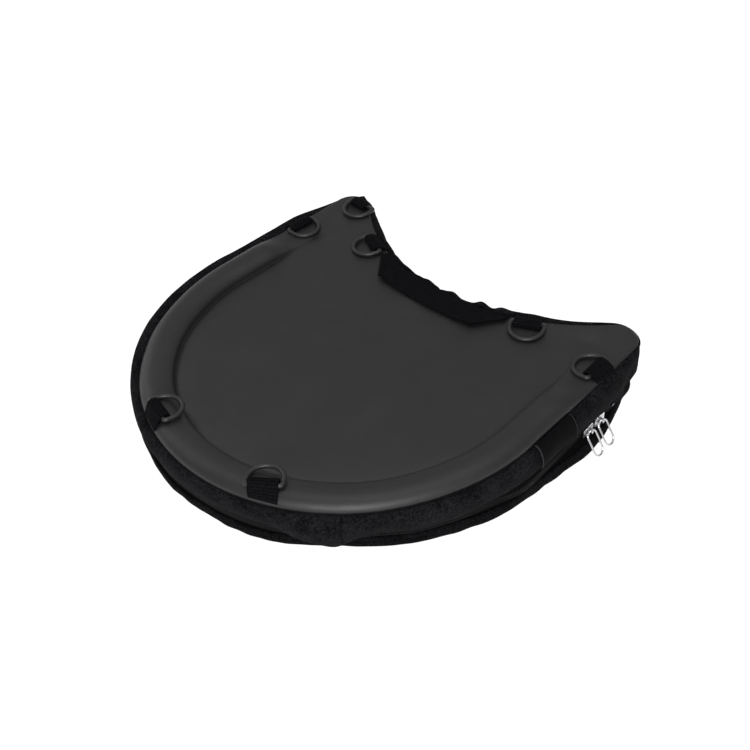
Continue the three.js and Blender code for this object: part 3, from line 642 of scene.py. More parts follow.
def woven(name, dark, light, pitch, rib, roughness, specular):
    """Cloth with a visible weave: threads at the given pitch, and cross ribs at rib times it."""
    made = Surface(name, Specular_IOR_Level=specular, Sheen_Weight=0.005)
    where = made.cloth_place()
    threads = []
    for direction, step in (("X", pitch * rib), ("Y", pitch)):
        inputs = {"Vector": where, "Scale": math.pi / (10 * step), "Distortion": 0.4, "Detail": 1}
        threads.append(made.node("ShaderNodeTexWave", inputs, bands_direction=direction).outputs["Fac"])
    weave = made.maths("MULTIPLY", *threads)
    fluff = made.noise(scale=420, detail=5)
    mixed = made.maths("MULTIPLY", made.maths("ADD", weave, 0.35), fluff)
    raised = made.maths("ADD", weave, made.maths("MULTIPLY", fluff, 0.3))
    made.shade(Base_Color=made.ramp(mixed, dark, light, start=0.1, end=0.65))
    made.shade(Roughness=made.between(fluff, roughness - 0.1, roughness + 0.1))
    made.emboss(raised, strength=0.7, distance=0.25 * pitch)
    return made


def edged_label(name, dark, light, pale):
    """Woven ribbon, paler in a narrow strip along both of its cut edges."""
    made = woven(name, dark, light, 0.4 * MM, 1.5, 0.75, 0.03)
    ground = made.shader.inputs["Base Color"].links[0].from_socket
    along = made.node("ShaderNodeSeparateXYZ", {"Vector": made.cloth_place()}).outputs["X"]
    from_edge = made.maths("PINGPONG", along, (TAB_TO_Y - TAB_FROM_Y) / 2)
    inputs = {"Fac": made.maths("LESS_THAN", from_edge, LABEL_BORDER), "Color1": ground, "Color2": (*pale, 1)}
    made.shade(Base_Color=made.node("ShaderNodeMixRGB", inputs).outputs["Color"])


def hard(name, dark, light, rough, cloud, grain, strength, distance, **sockets):
    """Plastic, metal or board: clouded by one noise and embossed by another, by their scale and detail."""
    made = Surface(name, **sockets)
    haze = made.noise(*cloud)
    made.shade(Base_Color=made.ramp(haze, dark, light), Roughness=made.between(haze, *rough))
    made.emboss(made.noise(*grain), strength, distance)


def moulded_plastic(name, colour, roughness, specular):
    rough = roughness - 0.08, roughness + 0.1
    hard(name, colour, colour, rough, (260, 4), (900, 3), 0.12, 0.2 * MM, Specular_IOR_Level=specular)


def plated_metal(name, dark, light):
    hard(name, dark, light, (0.16, 0.34), (300, 5), (1200, 3), 0.1, 0.1 * MM, Metallic=1.0)


def fibre_board(name, dark, light):
    hard(name, dark, light, (0.7, 0.9), (240, 6), (240, 6), 0.4, 0.4 * MM, Specular_IOR_Level=0.3)


leatherette("leatherette", (0.0075, 0.0075, 0.008), (0.011, 0.011, 0.012))
felt("felt", (0.0022, 0.0022, 0.0028), (0.0145, 0.0145, 0.0165))
# Painted shade: the same felt made darker for the lower band, which lies in shade under the tray.
felt("felt_painted_shade", (0.0012, 0.0012, 0.0015), (0.0085, 0.0085, 0.0097))
woven("webbing", (0.0018, 0.0018, 0.0022), (0.0092, 0.0092, 0.0108), 1.1 * MM, 2.2, 0.85, 0.02)
woven("tape", (0.002, 0.002, 0.0023), (0.006, 0.006, 0.007), 0.7 * MM, 1.0, 0.9, 0.02)
woven("lining", (0.008, 0.008, 0.009), (0.018, 0.018, 0.020), 0.5 * MM, 1.0, 0.7, 0.3)
woven("thread", (0.004, 0.004, 0.005), (0.012, 0.012, 0.0135), 0.5 * MM, 1.0, 0.7, 0.1)
edged_label("label", (0.0022, 0.0022, 0.0027), (0.0056, 0.0056, 0.0063), (0.028, 0.028, 0.030))
moulded_plastic("ring_plastic", (0.013, 0.013, 0.014), 0.42, 0.5)
moulded_plastic("coil", (0.0035, 0.0035, 0.004), 0.5, 0.12)
plated_metal("silver", (0.60, 0.60, 0.62), (0.80, 0.80, 0.82))
plated_metal("dark_metal", (0.02, 0.02, 0.022), (0.05, 0.05, 0.055))
fibre_board("board", (0.010, 0.009, 0.008), (0.022, 0.020, 0.018))


def coloured(made, material):
    made.data.materials.clear()
    made.data.materials.append(MATERIALS[material])


def finished(made, material, slot, body, *nodes):
    """Gives a piece its material, the body that it rides on, and the nodes that it stands for. The slot is not
    used.
    """
    coloured(made, material)
    if body:
        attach(made, body)
    if nodes:
        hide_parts(*nodes)


# Tray skin.

def rim_share(s):
    """How much of its height the rim has, from the y of its place on the seam."""
    place, _ = on_seam(s)
    past_end = place[..., 1] - np.where(place[..., 0] > 0, RIM_RIGHT_END_Y, RIM_LEFT_END_Y)
    full = 1 - (1 - RIM_TAIL_SHARE) * smooth_step(past_end, -RIM_FALL, 0)
    return np.where(before_horns(s), full * (1 - smooth_step(past_end, 0, RIM_TAIL)), 0)


def rim_profile(inward):
    """Share of the rim's height: round from the seam to its crest, and round again down to the crease."""
    rise = np.clip(1 - inward / RIM_CREST, 0, 1)
    fall = np.clip((inward - RIM_CREST) / (RIM_WIDTH - RIM_CREST), 0, 1)
    return np.sqrt(1 - rise**2) * np.sqrt(1 - fall**RIM_WALL)


def skin_height(inward, s):
    """Height of the tray's surface over its flat level, at a distance inward from the seam at s."""
    share = rim_share(s)
    roll = RIM_HEIGHT * share * rim_profile(inward)
    pad = EDGE_PAD * (1 - share) * (1 - smooth_step(inward, *EDGE_PAD_FADE))
    dip = (EDGE_DIP + pad) * (1 - share) * np.clip(1 - inward / EDGE_ROLL, 0, 1) ** 2
    past_crease = inward - RIM_WIDTH
    slope = np.exp(-np.maximum(past_crease, 0) / DISH_WIDTH)
    dish = DISH_DEPTH * share * np.where(past_crease > 0, slope, bump(past_crease, 0, RIM_FOOT))
    return roll + pad - dip - dish


SEARCH_BLOCK = 2000
SEARCH_STEP = 2
CROSSING_STEP = 4


def to_seam(points):
    """Distance inward from the seam, and the distance s round it, of points in the plan."""
    coarse = slice(0, len(seam_points) - 1, SEARCH_STEP)
    inward, nearest = [], []
    for start in range(0, len(points), SEARCH_BLOCK):
        block = points[start : start + SEARCH_BLOCK]
        gap = np.linalg.norm(block[:, None] - seam_points[None, coarse], axis=2)
        inward.append(gap.min(axis=1))
        nearest.append(gap.argmin(axis=1))
    return np.concatenate(inward), seam_s[coarse][np.concatenate(nearest)]


def inside_outline(points):
    """Which points of the plan lie inside the seam."""
    x, y = points[:, 0], points[:, 1]
    within = np.zeros(len(points), bool)
    outline = seam_points[:-1:CROSSING_STEP]
    for (x0, y0), (x1, y1) in zip(outline, np.roll(outline, -1, axis=0)):
        crosses = (y0 > y) != (y1 > y)
        with np.errstate(divide="ignore", invalid="ignore"):
            within ^= crosses & (x < (x1 - x0) * (y - y0) / (y1 - y0) + x0)
    return within


def plan_mesh(insets, rim_insets, along_step, spacing, drift):
    """Points that fill the outline, with their distances inward, places s and triangles, and how many lie
    on its edge: rings at each inset from the drifted outline, the rim's only beside it, and a square grid."""
    s = round_seam(round(perimeter / along_step))
    place, normal = on_seam(s)
    place = place + normal * drift(s)[:, None]
    everywhere = np.ones(len(s), bool)
    rings = [(inset, everywhere) for inset in insets]
    rings += [(inset, before_horns(s, RIM_SIDE_SHARE)) for inset in rim_insets]
    low, high = seam_points.min(axis=0), seam_points.max(axis=0)
    xs, ys = np.arange(low[0], high[0], spacing), np.arange(low[1], high[1], spacing)
    square = np.stack(np.meshgrid(xs, ys), axis=2).reshape(-1, 2)
    square = square[inside_outline(square)]
    square_inward, square_s = to_seam(square)
    square_inward = square_inward + drift(square_s)
    beside_rim = before_horns(square_s, RIM_SIDE_SHARE)
    last = np.where(beside_rim, max([*insets, *rim_insets]), max(insets))
    keep = square_inward > last + spacing * 0.5
    points = np.concatenate([*[(place - normal * inset)[part] for inset, part in rings], square[keep]])
    inward = np.concatenate([*[np.full(part.sum(), inset) for inset, part in rings], square_inward[keep]])
    all_s = np.concatenate([*[s[part] for _, part in rings], square_s[keep]])
    edges = [(i, (i + 1) % len(s)) for i in range(len(s))]
    found = delaunay_2d_cdt([Vector(p) for p in points], edges, [], 1, 1e-7)
    order = [min(origin) for origin in found[3]]
    triangles = [[order[i] for i in face] for face in found[2]]
    return points, inward, all_s, triangles, len(s)


def slab(name, points, top, bottom, triangles, foot):
    """A closed slab with a shaped top and one flat face below, whose outline is foot."""
    count, edge = len(points), len(foot)
    lower = np.column_stack([foot, np.full(edge, bottom)])
    vertices = np.concatenate([np.column_stack([points, top]), lower])
    walls = [(i, (i + 1) % edge) for i in range(edge)]
    faces = triangles + [[i, j, count + j, count + i] for i, j in walls]
    faces.append([count + i for i in range(edge)])
    return make_object(name, vertices, faces, [vertices[i, :2] for face in faces for i in face])


def tray_skin():
    insets = [SKIN_INSET, *EDGE_RINGS]
    points, inward, s, triangles, edge = plan_mesh(insets, RIM_RINGS, SKIN_STEP, SKIN_GRID, edge_drift)
    uneven = lumps(points, height=0.25 * MM, size=50 * MM, shift=0)
    top = TRAY_Z + SKIN_RISE + skin_height(inward, s) + uneven * smooth_step(inward, 0, RIM_WIDTH)
    for x, y, depth in DIMPLES:
        away = np.hypot(points[:, 0] - x, points[:, 1] - y)
        top -= depth * bump(away, 0, DIMPLE_SIZE)
    made = slab("tray_skin", points, top, TRAY_Z - SKIN_THICK, triangles, points[:edge])
    finished(made, "leatherette", "leatherette", "tray", "tray_cover", "rim_cover", "rim_core")


tray_skin()


# Bands.

def waist_share(s):
    return 1 - smooth_step(np.abs(np.mod(s, perimeter) - waist_s), *WAIST_FADE)


def waist_pucker(s):
    """Rise and fall of the band's top behind the handle, where the webbing gathers it."""
    return PUCKER_HEIGHT * waist_share(s) * soft_noise(s / PUCKER_LENGTH, 0, 14)


def upper_line(s, t):
    """Outer lines of the upper band at distances s, from the seam over the crest and down to the hem."""
    edge, hem = edge_drift(s), hem_drift(s)
    swell = UPPER_SWELL + swell_drift(s)
    crest = UPPER_CREST + crest_drift(s) + waist_pucker(s)
    root = edge - SEAM_TUCK + (SEAM_TUCK + WAIST_STAND_OFF) * waist_share(s)
    start = root, TRAY_Z - SEAM_DEPTH + edge * ROOT_DIP
    shoulder = swell * SHOULDER_OUT + edge * SHOULDER_DRIFT, TRAY_Z + crest * SHOULDER_RISE
    belly = swell * BELLY_OUT + hem * BELLY_DRIFT, TRAY_Z - UPPER_HEIGHT * BELLY_DROP
    return bezier(s, t, start, shoulder, belly, (UPPER_EDGE + hem, UPPER_HEM_Z - hem_drop(s)))


def upper_softness(s, t):
    """How far the upper band's cloth stands out or sinks in."""
    slow = waves(s, t, height=0.7 * MM, length=45 * MM, rows=2.2, shift=1)
    quick = waves(s, t, height=0.28 * MM, length=13 * MM, rows=4, shift=2)
    pucker = waves(s, t, height=1.9 * MM, length=16 * MM, rows=1.2, shift=3)
    return np.sin(math.pi * t)[None] ** 0.7 * (slow + quick + waist_share(s)[:, None] * pucker)


def upper_band(name, start, end, replaced):
    """One of the tray's two padded bands, drawn in beside its end seams."""
    s = np.concatenate([[start], steps_between(start + SEAM_GAP, end - SEAM_GAP, BAND_STEP), [end]])
    t = np.linspace(0, 1, UPPER_STEPS)
    tuck = END_TUCK * (bump(s, start, END_TUCK_WIDTH) + bump(s, end, END_TUCK_WIDTH))
    drawn = tuck[:, None] * np.sin(math.pi * np.clip(t * 1.1, 0, 1))[None]
    drawn[[0, -1]] += SEAM_SINK
    outer = pushed(upper_line(s, t), upper_softness(s, t) - drawn)
    made = grid_object(name, swept(s, closed_section(outer, UPPER_THICK, 1)))
    finished(made, "felt", "felt", "tray", replaced)


upper_band("upper_pad_right", band_seam_s, waist_s, "upper_band_right")
upper_band("upper_pad_left", waist_s, perimeter + band_seam_s, "upper_band_left")


def lower_line(s, t):
    """Outer lines of the lower band at distances s, from the floor over the belly and up to the hem."""
    drift = lower_drift(s)
    foot = drift + LOWER_SWELL * LOWER_FOOT_OUT, 0
    belly = drift + LOWER_SWELL * BELLY_OUT, LOWER_HEIGHT / 2
    hem = lower_hem_drift(s) + LOWER_EDGE, LOWER_HEIGHT
    return bezier(s, t, (drift - LOWER_TUCK, LOWER_FOOT_Z), foot, belly, hem)


def lower_softness(s, t):
    """How far the lower band's cloth stands out or sinks in, without a jump where it closes."""
    turn = s[:, None] * (2 * math.pi / perimeter)
    x, y = np.cos(turn), np.sin(turn)
    slow = 1.2 * MM * soft_noise(4 + 5 * x + t[None], 4 + 5 * y, 5)
    quick = 0.5 * MM * soft_noise(20 * x + t[None] * 2, 20 * y, 6)
    return np.sin(math.pi * np.clip(t, 0, 1))[None] ** 0.8 * (slow + quick)


def lower_band():
    s = round_seam(round(perimeter / BAND_STEP))
    t = np.linspace(0, 1, LOWER_STEPS)
    outer = pushed(lower_line(s, t), lower_softness(s, t), -1)
    outer[..., 1] = np.maximum(outer[..., 1], 0)
    section = closed_section(outer, LOWER_THICK, -1)
    section[..., 1] = np.maximum(section[..., 1], 0)
    made = grid_object("lower_pad", swept(s, section), close_rows=True)
    # The lower band gets the darker felt, painted shade for its place under the tray.
    finished(made, "felt_painted_shade", "felt", "base", "lower_band")


lower_band()


# Flat cloth under the bag and the tray, and the bag's bead bed.

AREA_STEPS = 600


def outline_area(inset):
    place, normal = on_seam(round_seam(AREA_STEPS))
    x, y = (place - normal * inset).T
    return 0.5 * abs(np.dot(x, np.roll(y, -1)) - np.dot(y, np.roll(x, -1)))


def cloth_panel(name, inset, drift, top, thick, material, body, replaced):
    """A flat panel of cloth with the tray's outline, shifted by a drift and moved in by inset."""
    insets = [inset, *[inset + ring for ring in PANEL_RINGS]]
    points, inward, _, triangles, edge = plan_mesh(insets, [], PANEL_STEP, PANEL_GRID, drift)
    ripple = lumps(points, height=0.2 * MM, size=30 * MM, shift=8)
    height = top + ripple * smooth_step(inward, inset, inset + RIPPLE_FADE)
    made = slab(name, points, height, top - thick, triangles, points[:edge])
    finished(made, material, material, body, replaced)
    outline_area(inset)


cloth_panel("base_cloth", 1.5 * MM, lower_drift, 1.6 * MM, 1.6 * MM, "felt", "base", "base_panel")
cloth_panel("tray_underside", 2 * MM, np.zeros_like, 50.4 * MM, 1 * MM, "lining", "tray", "tray_lining")


def bead_bed():
    """The bag's inner cloth over its bead filling, crowned and lumpy."""
    insets = [BED_INSET, *BED_RINGS]
    points, inward, s, triangles, edge = plan_mesh(insets, [], BED_STEP, BED_GRID, lower_hem_drift)
    beads = lumps(points, height=1.3 * MM, size=22 * MM, shift=9)
    top = BED_EDGE_Z + BED_CROWN * smooth_step(inward, BED_INSET, BED_CROWN_REACH)
    top += beads * smooth_step(inward, BED_INSET, RIPPLE_FADE)
    _, normal = on_seam(s[:edge])
    foot = points[:edge] - normal * (BED_FOOT_INSET - BED_INSET)
    made = slab("bead_bed", points, top, BED_BOTTOM_Z, triangles, foot)
    finished(made, "lining", "lining", "base", "base_lining", "bean_fill")


bead_bed()


# Zip.

def tape(name, low, high, body, replaced):
    s = steps_between(-zip_end_s, zip_end_s, TAPE_STEP)
    z = np.linspace(low, high, TAPE_ROWS)
    ripple = waves(s, z, height=0.15 * MM, length=10 * MM, rows=1 / TAPE_WAVE, shift=4)
    depth = TAPE_DEPTH + zip_drift(s[:, None], z[None]) + ripple
    front = np.stack(np.broadcast_arrays(depth, z[None]), axis=2)
    made = grid_object(name, swept(s, closed_section(front, TAPE_THICK, -1)))
    finished(made, "tape", "webbing", body, replaced)


tape("tape_upper", ZIP_Z + COIL_END + ZIP_GAP, UPPER_HEM_Z + TAPE_TUCK, "tray", "zip_tape_upper")
tape("tape_lower", LOWER_HEIGHT - TAPE_TUCK, ZIP_Z - COIL_END - ZIP_GAP, "base", "zip_tape_lower")


def teeth(name, sign, shift, body, replaced):
    """One half of the zip's coil, as a row of rounded teeth that reach between those of the other half."""
    s = np.arange(-zip_end_s + TOOTH_PITCH, zip_end_s - TOOTH_PITCH, TOOTH_PITCH) + shift * TOOTH_PITCH
    angle = full_turn(TOOTH_SIDES) + math.pi / TOOTH_SIDES
    squared = lambda values: np.sign(values) * np.abs(values) ** TOOTH_SQUARE
    low, high = ZIP_Z - sign * TOOTH_LAP, ZIP_Z + sign * COIL_END
    depth = (zip_drift(s, ZIP_Z) + TAPE_DEPTH - TAPE_THICK / 2)[:, None]
    place, normal = on_seam(s)
    rings = []
    for offset, size in TOOTH_RINGS:
        out = depth + size * COIL_THICK / 2 * squared(np.cos(angle))
        z = (low + high) / 2 + size * (high - low) / 2 * squared(np.sin(angle))
        middle_at = place - right_of(normal) * offset * TOOTH_LENGTH
        xy = middle_at[:, None] + normal[:, None] * out[..., None]
        rings.append(np.concatenate([xy, np.broadcast_to(z[None, :, None], (*out.shape, 1))], axis=2))
    made = row_of_tubes(name, np.stack(rings, axis=1))
    finished(made, "coil", "coil", body, replaced)


teeth("teeth_upper", 1, 0, "tray", "zip_coil_upper")
teeth("teeth_lower", -1, 0.5, "base", "zip_coil_lower")


def gusset():
    """Slack cloth that closes the bag behind the zip's ends."""
    low, high = LOWER_HEIGHT - GUSSET_TUCK, UPPER_HEM_Z + GUSSET_TUCK
    s = steps_between(zip_end_s + ZIP_GAP, perimeter - zip_end_s - ZIP_GAP, GUSSET_STEP)
    t = np.linspace(0, 1, TAPE_ROWS)
    z = np.broadcast_to(low + (high - low) * t[None], (len(s), len(t)))
    folds = waves(s, t, height=1.1 * MM, length=14 * MM, rows=0.8, shift=12)
    slack = np.sin(math.pi * t)[None] * (folds - GUSSET_SAG)
    front = np.stack([TAPE_DEPTH + zip_drift(s[:, None], z) + slack, z], axis=2)
    section = np.concatenate([front, front[:, ::-1] - np.array([TAPE_THICK, 0])], axis=1)
    made = grid_object("gusset_cloth", swept(s, section))
    finished(made, "felt", "felt", None, "rear_gusset")
    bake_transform(made)


gusset()


# Stitching along the hems of the bands.

def hem_stitches(name, start, end, line, softness, side, body):
    """A row of thread stitches along a band's hem, each standing half out of the cloth."""
    s = steps_between(start + BAND_STEP, end - BAND_STEP, BAND_STEP)
    t = np.array(HEM_SHARES)
    section = line(s, t)
    out = -side * right_of(unit(section[:, 2] - section[:, 0]))
    hem = section[:, 1] + out * softness(s, t)[:, 1:2]
    _, seam_normal = on_seam(s)
    normals = np.column_stack([seam_normal * out[:, :1], out[:, 1]])
    places = swept(s, hem[:, None])[:, 0]
    run = running_length(places)
    centres = np.arange(STITCH_PITCH / 2, run[-1] - STITCH_PITCH / 2, STITCH_PITCH)
    first, centre, last = [read_along(centres + share * STITCH_LENGTH / 2, run, places) for share in (-1, 0, 1)]
    along = unit(last - first)[:, None]
    up = read_along(centres, run, normals)[:, None]
    across = np.cross(along, up)
    angle = full_turn(STITCH_SIDES)[None, :, None]
    rings = []
    for share, size, sink in STITCH_RINGS:
        thread = across * np.cos(angle) * size + up * (np.sin(angle) * size + sink)
        rings.append(centre[:, None] + along * share * STITCH_LENGTH / 2 + STITCH_RADIUS * thread)
    made = row_of_tubes(name, np.stack(rings, axis=1), threaded=True)
    finished(made, "thread", "felt", body)


hem_stitches("stitches_right", band_seam_s, waist_s, upper_line, upper_softness, 1, "tray")
hem_stitches("stitches_left", waist_s, perimeter + band_seam_s, upper_line, upper_softness, 1, "tray")
hem_stitches("stitches_lower", 0, perimeter, lower_line, lower_softness, -1, "base")


# Sewn-in tab.

def label_ribbon():
    s = steps_between(along_side(TAB_FROM_Y), along_side(TAB_TO_Y), TAB_STEP)
    t = np.linspace(*TAB_SHARES, TAB_DROP_ROWS)
    line = pushed(upper_line(s, t), np.full((len(s), len(t)), TAB_STAND_OFF))
    share = ((s - s[0]) / (s[-1] - s[0]))[:, None]
    lift = TAB_LIFT + TAB_END_LIFT * (2 * share - 1) ** 4 + TAB_WAVE * np.sin(TAB_WAVES * share)
    face = pushed(line, smooth_step(t, TAB_FREE_FROM, TAB_SHARES[1])[None] * lift)
    made = grid_object("label_ribbon", swept(s, closed_section(face, TAB_THICK, 1)))
    finished(made, "label", "label", "tray", "label_tab")


label_ribbon()


# Wires, rings and ribbons.

def wire_object(name, path, radius, place):
    """A round wire bent to a closed flat path (n, 2), with its radius at each point, put at place."""
    across = right_of(unit(np.roll(path, -1, axis=0) - np.roll(path, 1, axis=0)))
    angle = full_turn(WIRE_SIDES)
    flat = path[:, None] + across[:, None] * (radius[:, None] * np.cos(angle)[None])[..., None]
    z = radius[:, None] * np.sin(angle)[None]
    grid = np.concatenate([flat, z[..., None]], axis=2)
    turn, origin = np.array(place.to_3x3()), np.array(place.translation)
    return grid_object(name, grid @ turn.T + origin, close_rows=True)


def d_path(half, reach, corner_radius, step, sign=1):
    """A closed path like a D: a bar with rounded corners, and a bow that reaches from it."""
    corners = sign * np.array([(-half, 0), (half, 0), (half, reach), (-half, reach)])
    radii = [corner_radius] * 2 + [half * FULL_ROUND] * 2
    befores, afters = np.roll(corners, 1, axis=0), np.roll(corners, -1, axis=0)
    t = np.linspace(0, 1, CORNER_STEPS)[:, None]
    path = []
    for here, before, after, radius in zip(corners, befores, afters, radii):
        to_before, to_after = unit(before - here), unit(after - here)
        half_turn = math.acos(np.clip(to_before @ to_after, -1, 1)) / 2
        chord = here + ((1 - t) * to_before + t * to_after) * radius / math.tan(half_turn)
        centre = here + unit(to_before + to_after) * radius / math.sin(half_turn)
        path.append(centre + unit(chord - centre) * radius)
    closed = np.concatenate([*path, path[0][:1]])
    run = running_length(closed)
    at = np.linspace(0, run[-1], round(run[-1] / step), endpoint=False)
    return read_along(at, run, closed)


joints = {joint["name"]: joint for joint in frame["joints"]}


def joint_frame(name, sign=1):
    """The frame at a joint: X along its axis, or against it, Y level and Z up."""
    along = sign * Vector(joints[name]["axis"]).normalized()
    inward = Vector((-along.y, along.x, 0))
    basis = Matrix((along, inward, Vector((0, 0, 1)))).transposed().to_4x4()
    return Matrix.Translation(Vector(joints[name]["pos_m"])) @ basis


def d_ring(place):
    """A ring that leans on the tray, swollen at the ends of its bar."""
    base = joint_frame(f"ring_{place}_swing")
    low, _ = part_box(f"d_ring_{place}")
    drop = base.translation.z - low[2]
    wire = RING_WIRE / 2
    lean_angle = math.asin(drop / math.hypot(RING_REACH, wire)) - math.atan2(wire, RING_REACH)
    half = (RING_INNER_WIDTH + RING_WIRE) / 2
    path = d_path(half, RING_REACH, RING_CORNER, RING_STEP)
    shoulder = bump(np.abs(path[:, 0]), half, RING_SHOULDER) * bump(path[:, 1], 0, RING_SHOULDER)
    radius = wire * (1 + RING_SHOULDER_SWELL * shoulder)
    made = wire_object(f"ring_{place}", path, radius, base @ Matrix.Rotation(-lean_angle, 4, "X"))
    finished(made, "ring_plastic", "ring_plastic", f"ring_{place}", f"d_ring_{place}")


def ribbon_object(name, front, rear, thick, columns):
    """Webbing between two edge lines (n, 3) that run along it, with rounded selvedges."""
    share = np.linspace(0, 1, columns)[None, :, None]
    core = front[:, None] * (1 - share) + rear[:, None] * share
    across = np.gradient(core, axis=1)
    normal = thick / 2 * unit(np.cross(np.gradient(core, axis=0), across))
    across = thick / 2 * unit(across)
    turn = np.linspace(0, math.pi, SELVEDGE_STEPS + 2)[None, 1:-1, None]

    def selvedge(column, sign):
        out = np.cos(turn) * normal[:, column] + np.sin(turn) * across[:, column]
        return core[:, column] + sign * out

    first, last = slice(0, 1), slice(columns - 1, columns)
    rows = [core + normal, selvedge(last, 1), (core - normal)[:, ::-1], selvedge(first, -1)]
    return grid_object(name, np.concatenate(rows, axis=1))


def placed(base, points):
    return np.array([(base @ Vector(point))[:] for point in points])


def first_inside(base, points):
    """Which of a row of points is the first to lie inside the seam."""
    return np.argmax(inside_outline(placed(base, points)))


def loop_half(base, side):
    """Half the width of a loop's webbing on one side, less where the seam cuts across it."""
    tries = np.linspace((LOOP_WIDTH - WEB_THICK) / 2, LOOP_WIDTH / 8, 40)
    return tries[first_inside(base, [(side * x, -LOOP_LEAST, 0) for x in tries])]


def circle(radius, start, end):
    angle = np.linspace(start, end, 14)
    return radius * np.column_stack([np.cos(angle), np.sin(angle)])


def loop_edge(base, x):
    """One edge of a loop's webbing, at x along the ring's bar: from the seam, round the bar and back."""
    bar_z = base.translation.z
    tries = np.linspace(-LOOP_REACH, 0, 100)
    root = min(tries[first_inside(base, [(x, y, 0) for y in tries])] + LOOP_ROOT, -LOOP_LEAST)
    run = np.linspace(root, LOOP_SLACK, 16)
    inward, s = to_seam(placed(base, [(x, y, 0) for y in run])[:, :2])
    inner_radius = RING_WIRE / 2 + RING_CLEAR
    radius = inner_radius + WEB_THICK / 2
    ground = TRAY_Z + LOOP_REST + np.maximum(skin_height(inward, s), 0)
    ground = np.minimum(ground, bar_z - inner_radius - WEB_THICK)
    under = np.column_stack([run, ground + WEB_THICK / 2 - bar_z])
    turn = circle(radius, LOOP_TURN_FROM, math.pi / 2) + [LOOP_SLACK, 0]
    end_z = under[0, 1] + WEB_THICK
    leave = 2 * math.pi + math.atan2(end_z, root) - math.acos(min(1, radius / math.hypot(root, end_z)))
    crown = circle(radius, math.pi / 2, max(leave, math.pi / 2 + LOOP_LEAST_TURN))
    over = np.linspace(crown[-1], (root, end_z), 10)[1:]
    over[:, 1] = np.maximum(over[:, 1], np.interp(over[:, 0], run, under[:, 1]) + LOOP_LAP)
    path = np.concatenate([under, turn, crown, over])
    length = running_length(path)
    path = read_along(np.linspace(0, length[-1], LOOP_ROWS), length, path)
    for _ in range(LOOP_EASING):
        path[1:-1] = (path[:-2] + 2 * path[1:-1] + path[2:]) / 4
    return placed(base, [(x, y, z) for y, z in path])


def web_loop(place):
    """Webbing sewn into the seam, over the tray, round the ring's bar and back into the seam."""
    base = joint_frame(f"ring_{place}_swing")
    halves = [loop_half(base, side) for side in (-1, 1)]
    left, right = [loop_edge(base, side * half) for side, half in zip((-1, 1), halves)]
    made = ribbon_object(f"loop_{place}", left, right, LOOP_THICK, LOOP_COLUMNS)
    finished(made, "webbing", "webbing", "tray", f"ring_loop_{place}")


for ring_place in RING_PLACES:
    d_ring(ring_place)
    web_loop(ring_place)


# Carry handle.

def strap_end(sign, x, y, root_x):
    """One edge of the handle past its span: round the fold at (x, y) and back under to the seam at root_x."""
    outward = unit(np.array([sign * STRAP_WIDTH, STRAP_FRONT_HALF_SPAN - STRAP_HALF_SPAN]))
    radius = (STRAP_THICK + FOLD_GAP) / 2
    angle = np.linspace(0, math.pi, FOLD_ROWS)[1:, None]
    turn_z = TRAY_Z + STRAP_FOLD_LIFT - FOLD_GAP / 2 + radius * np.cos(angle)
    turn = np.hstack([np.array([sign * x, y]) + outward * radius * np.sin(angle), turn_z])
    root_y = waist_centre_y - math.sqrt(waist_radius**2 - root_x**2) - STRAP_SEAM_GAP
    root = (sign * root_x, root_y, TRAY_Z + STRAP_ROOT + STRAP_THICK / 2)
    return np.concatenate([turn, np.linspace(turn[-1], root, TAB_ROWS)[1:]])


def strap_edge(half_span, y, bow, dip, sway, root_x):
    """One edge line of the handle, from the seam on the left to the seam on the right."""
    share = np.linspace(-1, 1, STRAP_ROWS)
    free = 1 - share**2
    rise = sway * np.sin(STRAP_SWAYS * math.pi * share) * free - dip * (1 - np.abs(share) ** 3)
    z = TRAY_Z + STRAP_FOLD_LIFT + STRAP_THICK / 2 + rise
    span = np.column_stack([half_span * share, y - bow * free, z])
    left, right = [strap_end(sign, half_span, y, root_x) for sign in (-1, 1)]
    return np.concatenate([left[::-1], span, right])


def handle():
    tab_x, rear_y = STRAP_HALF_SPAN - STRAP_WIDTH, STRAP_FRONT_Y + STRAP_WIDTH
    rear_dip = STRAP_FOLD_LIFT - STRAP_LIFT
    front = strap_edge(STRAP_FRONT_HALF_SPAN, STRAP_FRONT_Y, STRAP_BOW, STRAP_DIP, STRAP_SWAY, tab_x)
    rear = strap_edge(STRAP_HALF_SPAN, rear_y, STRAP_REAR_BOW, rear_dip, STRAP_REAR_SWAY, STRAP_HALF_SPAN)
    made = ribbon_object("handle_strap", front, rear, STRAP_THICK, STRAP_COLUMNS)
    finished(made, "webbing", "webbing", "handle", "carry_handle")


handle()


# Zip sliders, pulls and stops.

BEVEL_WIDTH = 0.3 * MM
BEVEL_FROM = math.radians(40)


def zip_pull(place):
    hang = joint_frame(f"pull_{place}_swing", -1) @ Matrix.Rotation(math.pi / 2 - PULL_TILT, 4, "X")
    half = PULL_WIDTH / 2
    path = d_path(half, PULL_LENGTH, half * PULL_CORNER, PULL_STEP, -1)
    made = wire_object(f"pull_wire_{place}", path, np.full(len(path), PULL_WIRE / 2), hang)
    finished(made, "silver", "silver", f"pull_{place}", f"zip_pull_{place}")


def bevelled(material, *names):
    """Rigid pieces of the frame, with softened edges and their material."""
    for name in names:
        made = frame["nodes"][name]
        coloured(made, material)
        bevel = made.modifiers.new("soft_edges", "BEVEL")
        bevel.width = BEVEL_WIDTH
        bevel.segments = 2
        bevel.limit_method = "ANGLE"
        bevel.angle_limit = BEVEL_FROM


zip_pull("front")
zip_pull("rear")
bevelled("silver", "zip_slider_front", "zip_slider_rear")
bevelled("dark_metal", "zip_stop_right", "zip_stop_left")
bevelled("board", "tray_board")


# Floor, light and camera.

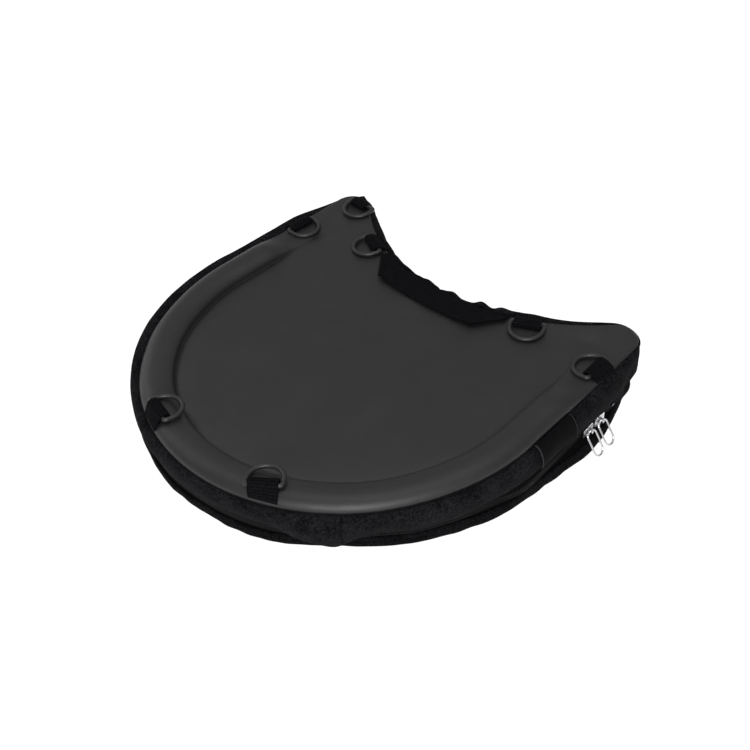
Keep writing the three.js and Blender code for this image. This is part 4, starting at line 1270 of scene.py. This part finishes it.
FLOOR_SIZE = 24
FLOOR_Z = -0.5 * MM
FLOOR_GLOW = 1.22
FLOOR_GLOW_SHARE = 0.75
SKY_STRENGTH = 0.40
CAMERA_PLACE = (534.87 * MM, -472.85 * MM, 667.39 * MM)
CAMERA_AZIMUTH = math.radians(47.369)
CAMERA_ELEVATION = math.radians(42.016)
CAMERA_ROLL = math.radians(-4.623)
CAMERA_LENS = 52.524
CAMERA_SENSOR = 36


def floor():
    """A pale floor that glows for the eye and in reflections, and doesn't light the bag."""
    bpy.ops.mesh.primitive_plane_add(size=FLOOR_SIZE, location=(0, 0, FLOOR_Z))
    plane = bpy.context.object
    plane.name = "floor"
    made = Surface("floor", Base_Color=(0.9, 0.9, 0.9, 1), Roughness=0.9, Specular_IOR_Level=0.1)
    ray = made.node("ShaderNodeLightPath").outputs
    seen = made.maths("MAXIMUM", ray["Is Camera Ray"], ray["Is Glossy Ray"])
    seen = made.maths("MAXIMUM", seen, ray["Is Transmission Ray"])
    glow = made.node("ShaderNodeEmission", {"Color": (1, 1, 1, 1), "Strength": FLOOR_GLOW})
    share = made.maths("MULTIPLY", seen, FLOOR_GLOW_SHARE)
    mixed = made.node("ShaderNodeMixShader", {0: share, 1: made.shader.outputs[0], 2: glow.outputs[0]})
    made.put(made.nodes["Material Output"].inputs["Surface"], mixed.outputs[0])
    plane.data.materials.append(made.material)


def area_light(name, place, target, size, power):
    data = bpy.data.lights.new(name, "AREA")
    data.shape = "RECTANGLE"
    data.size, data.size_y = size
    data.energy = power
    lamp = bpy.data.objects.new(name, data)
    lamp.location = place
    lamp.rotation_euler = (Vector(target) - Vector(place)).to_track_quat("-Z", "Y").to_euler()
    bpy.context.scene.collection.objects.link(lamp)


def world():
    made = bpy.data.worlds.new("studio")
    made.use_nodes = True
    background = made.node_tree.nodes["Background"]
    background.inputs["Color"].default_value = (1, 1, 1, 1)
    background.inputs["Strength"].default_value = SKY_STRENGTH
    bpy.context.scene.world = made


def camera():
    data = bpy.data.cameras.new("camera")
    data.lens = CAMERA_LENS
    data.sensor_width = CAMERA_SENSOR
    made = bpy.data.objects.new("camera", data)
    turn = Matrix.Rotation(CAMERA_AZIMUTH, 4, "Z") @ Matrix.Rotation(math.pi / 2 - CAMERA_ELEVATION, 4, "X")
    made.matrix_world = Matrix.Translation(CAMERA_PLACE) @ turn @ Matrix.Rotation(CAMERA_ROLL, 4, "Z")
    bpy.context.scene.collection.objects.link(made)
    bpy.context.scene.camera = made


floor()
world()
area_light("overhead", (0, 0.1, 1.6), (0, 0, 0), (1.4, 1.0), 6)
area_light("front_key", (1.05, -1.15, 1.05), (0, -0.1, 0), (1.2, 1.0), 27)
area_light("left_fill", (-1.4, -0.3, 0.9), (0, 0, 0), (1.0, 1.0), 3)
camera()
bpy.context.scene.view_settings.view_transform = "Standard"
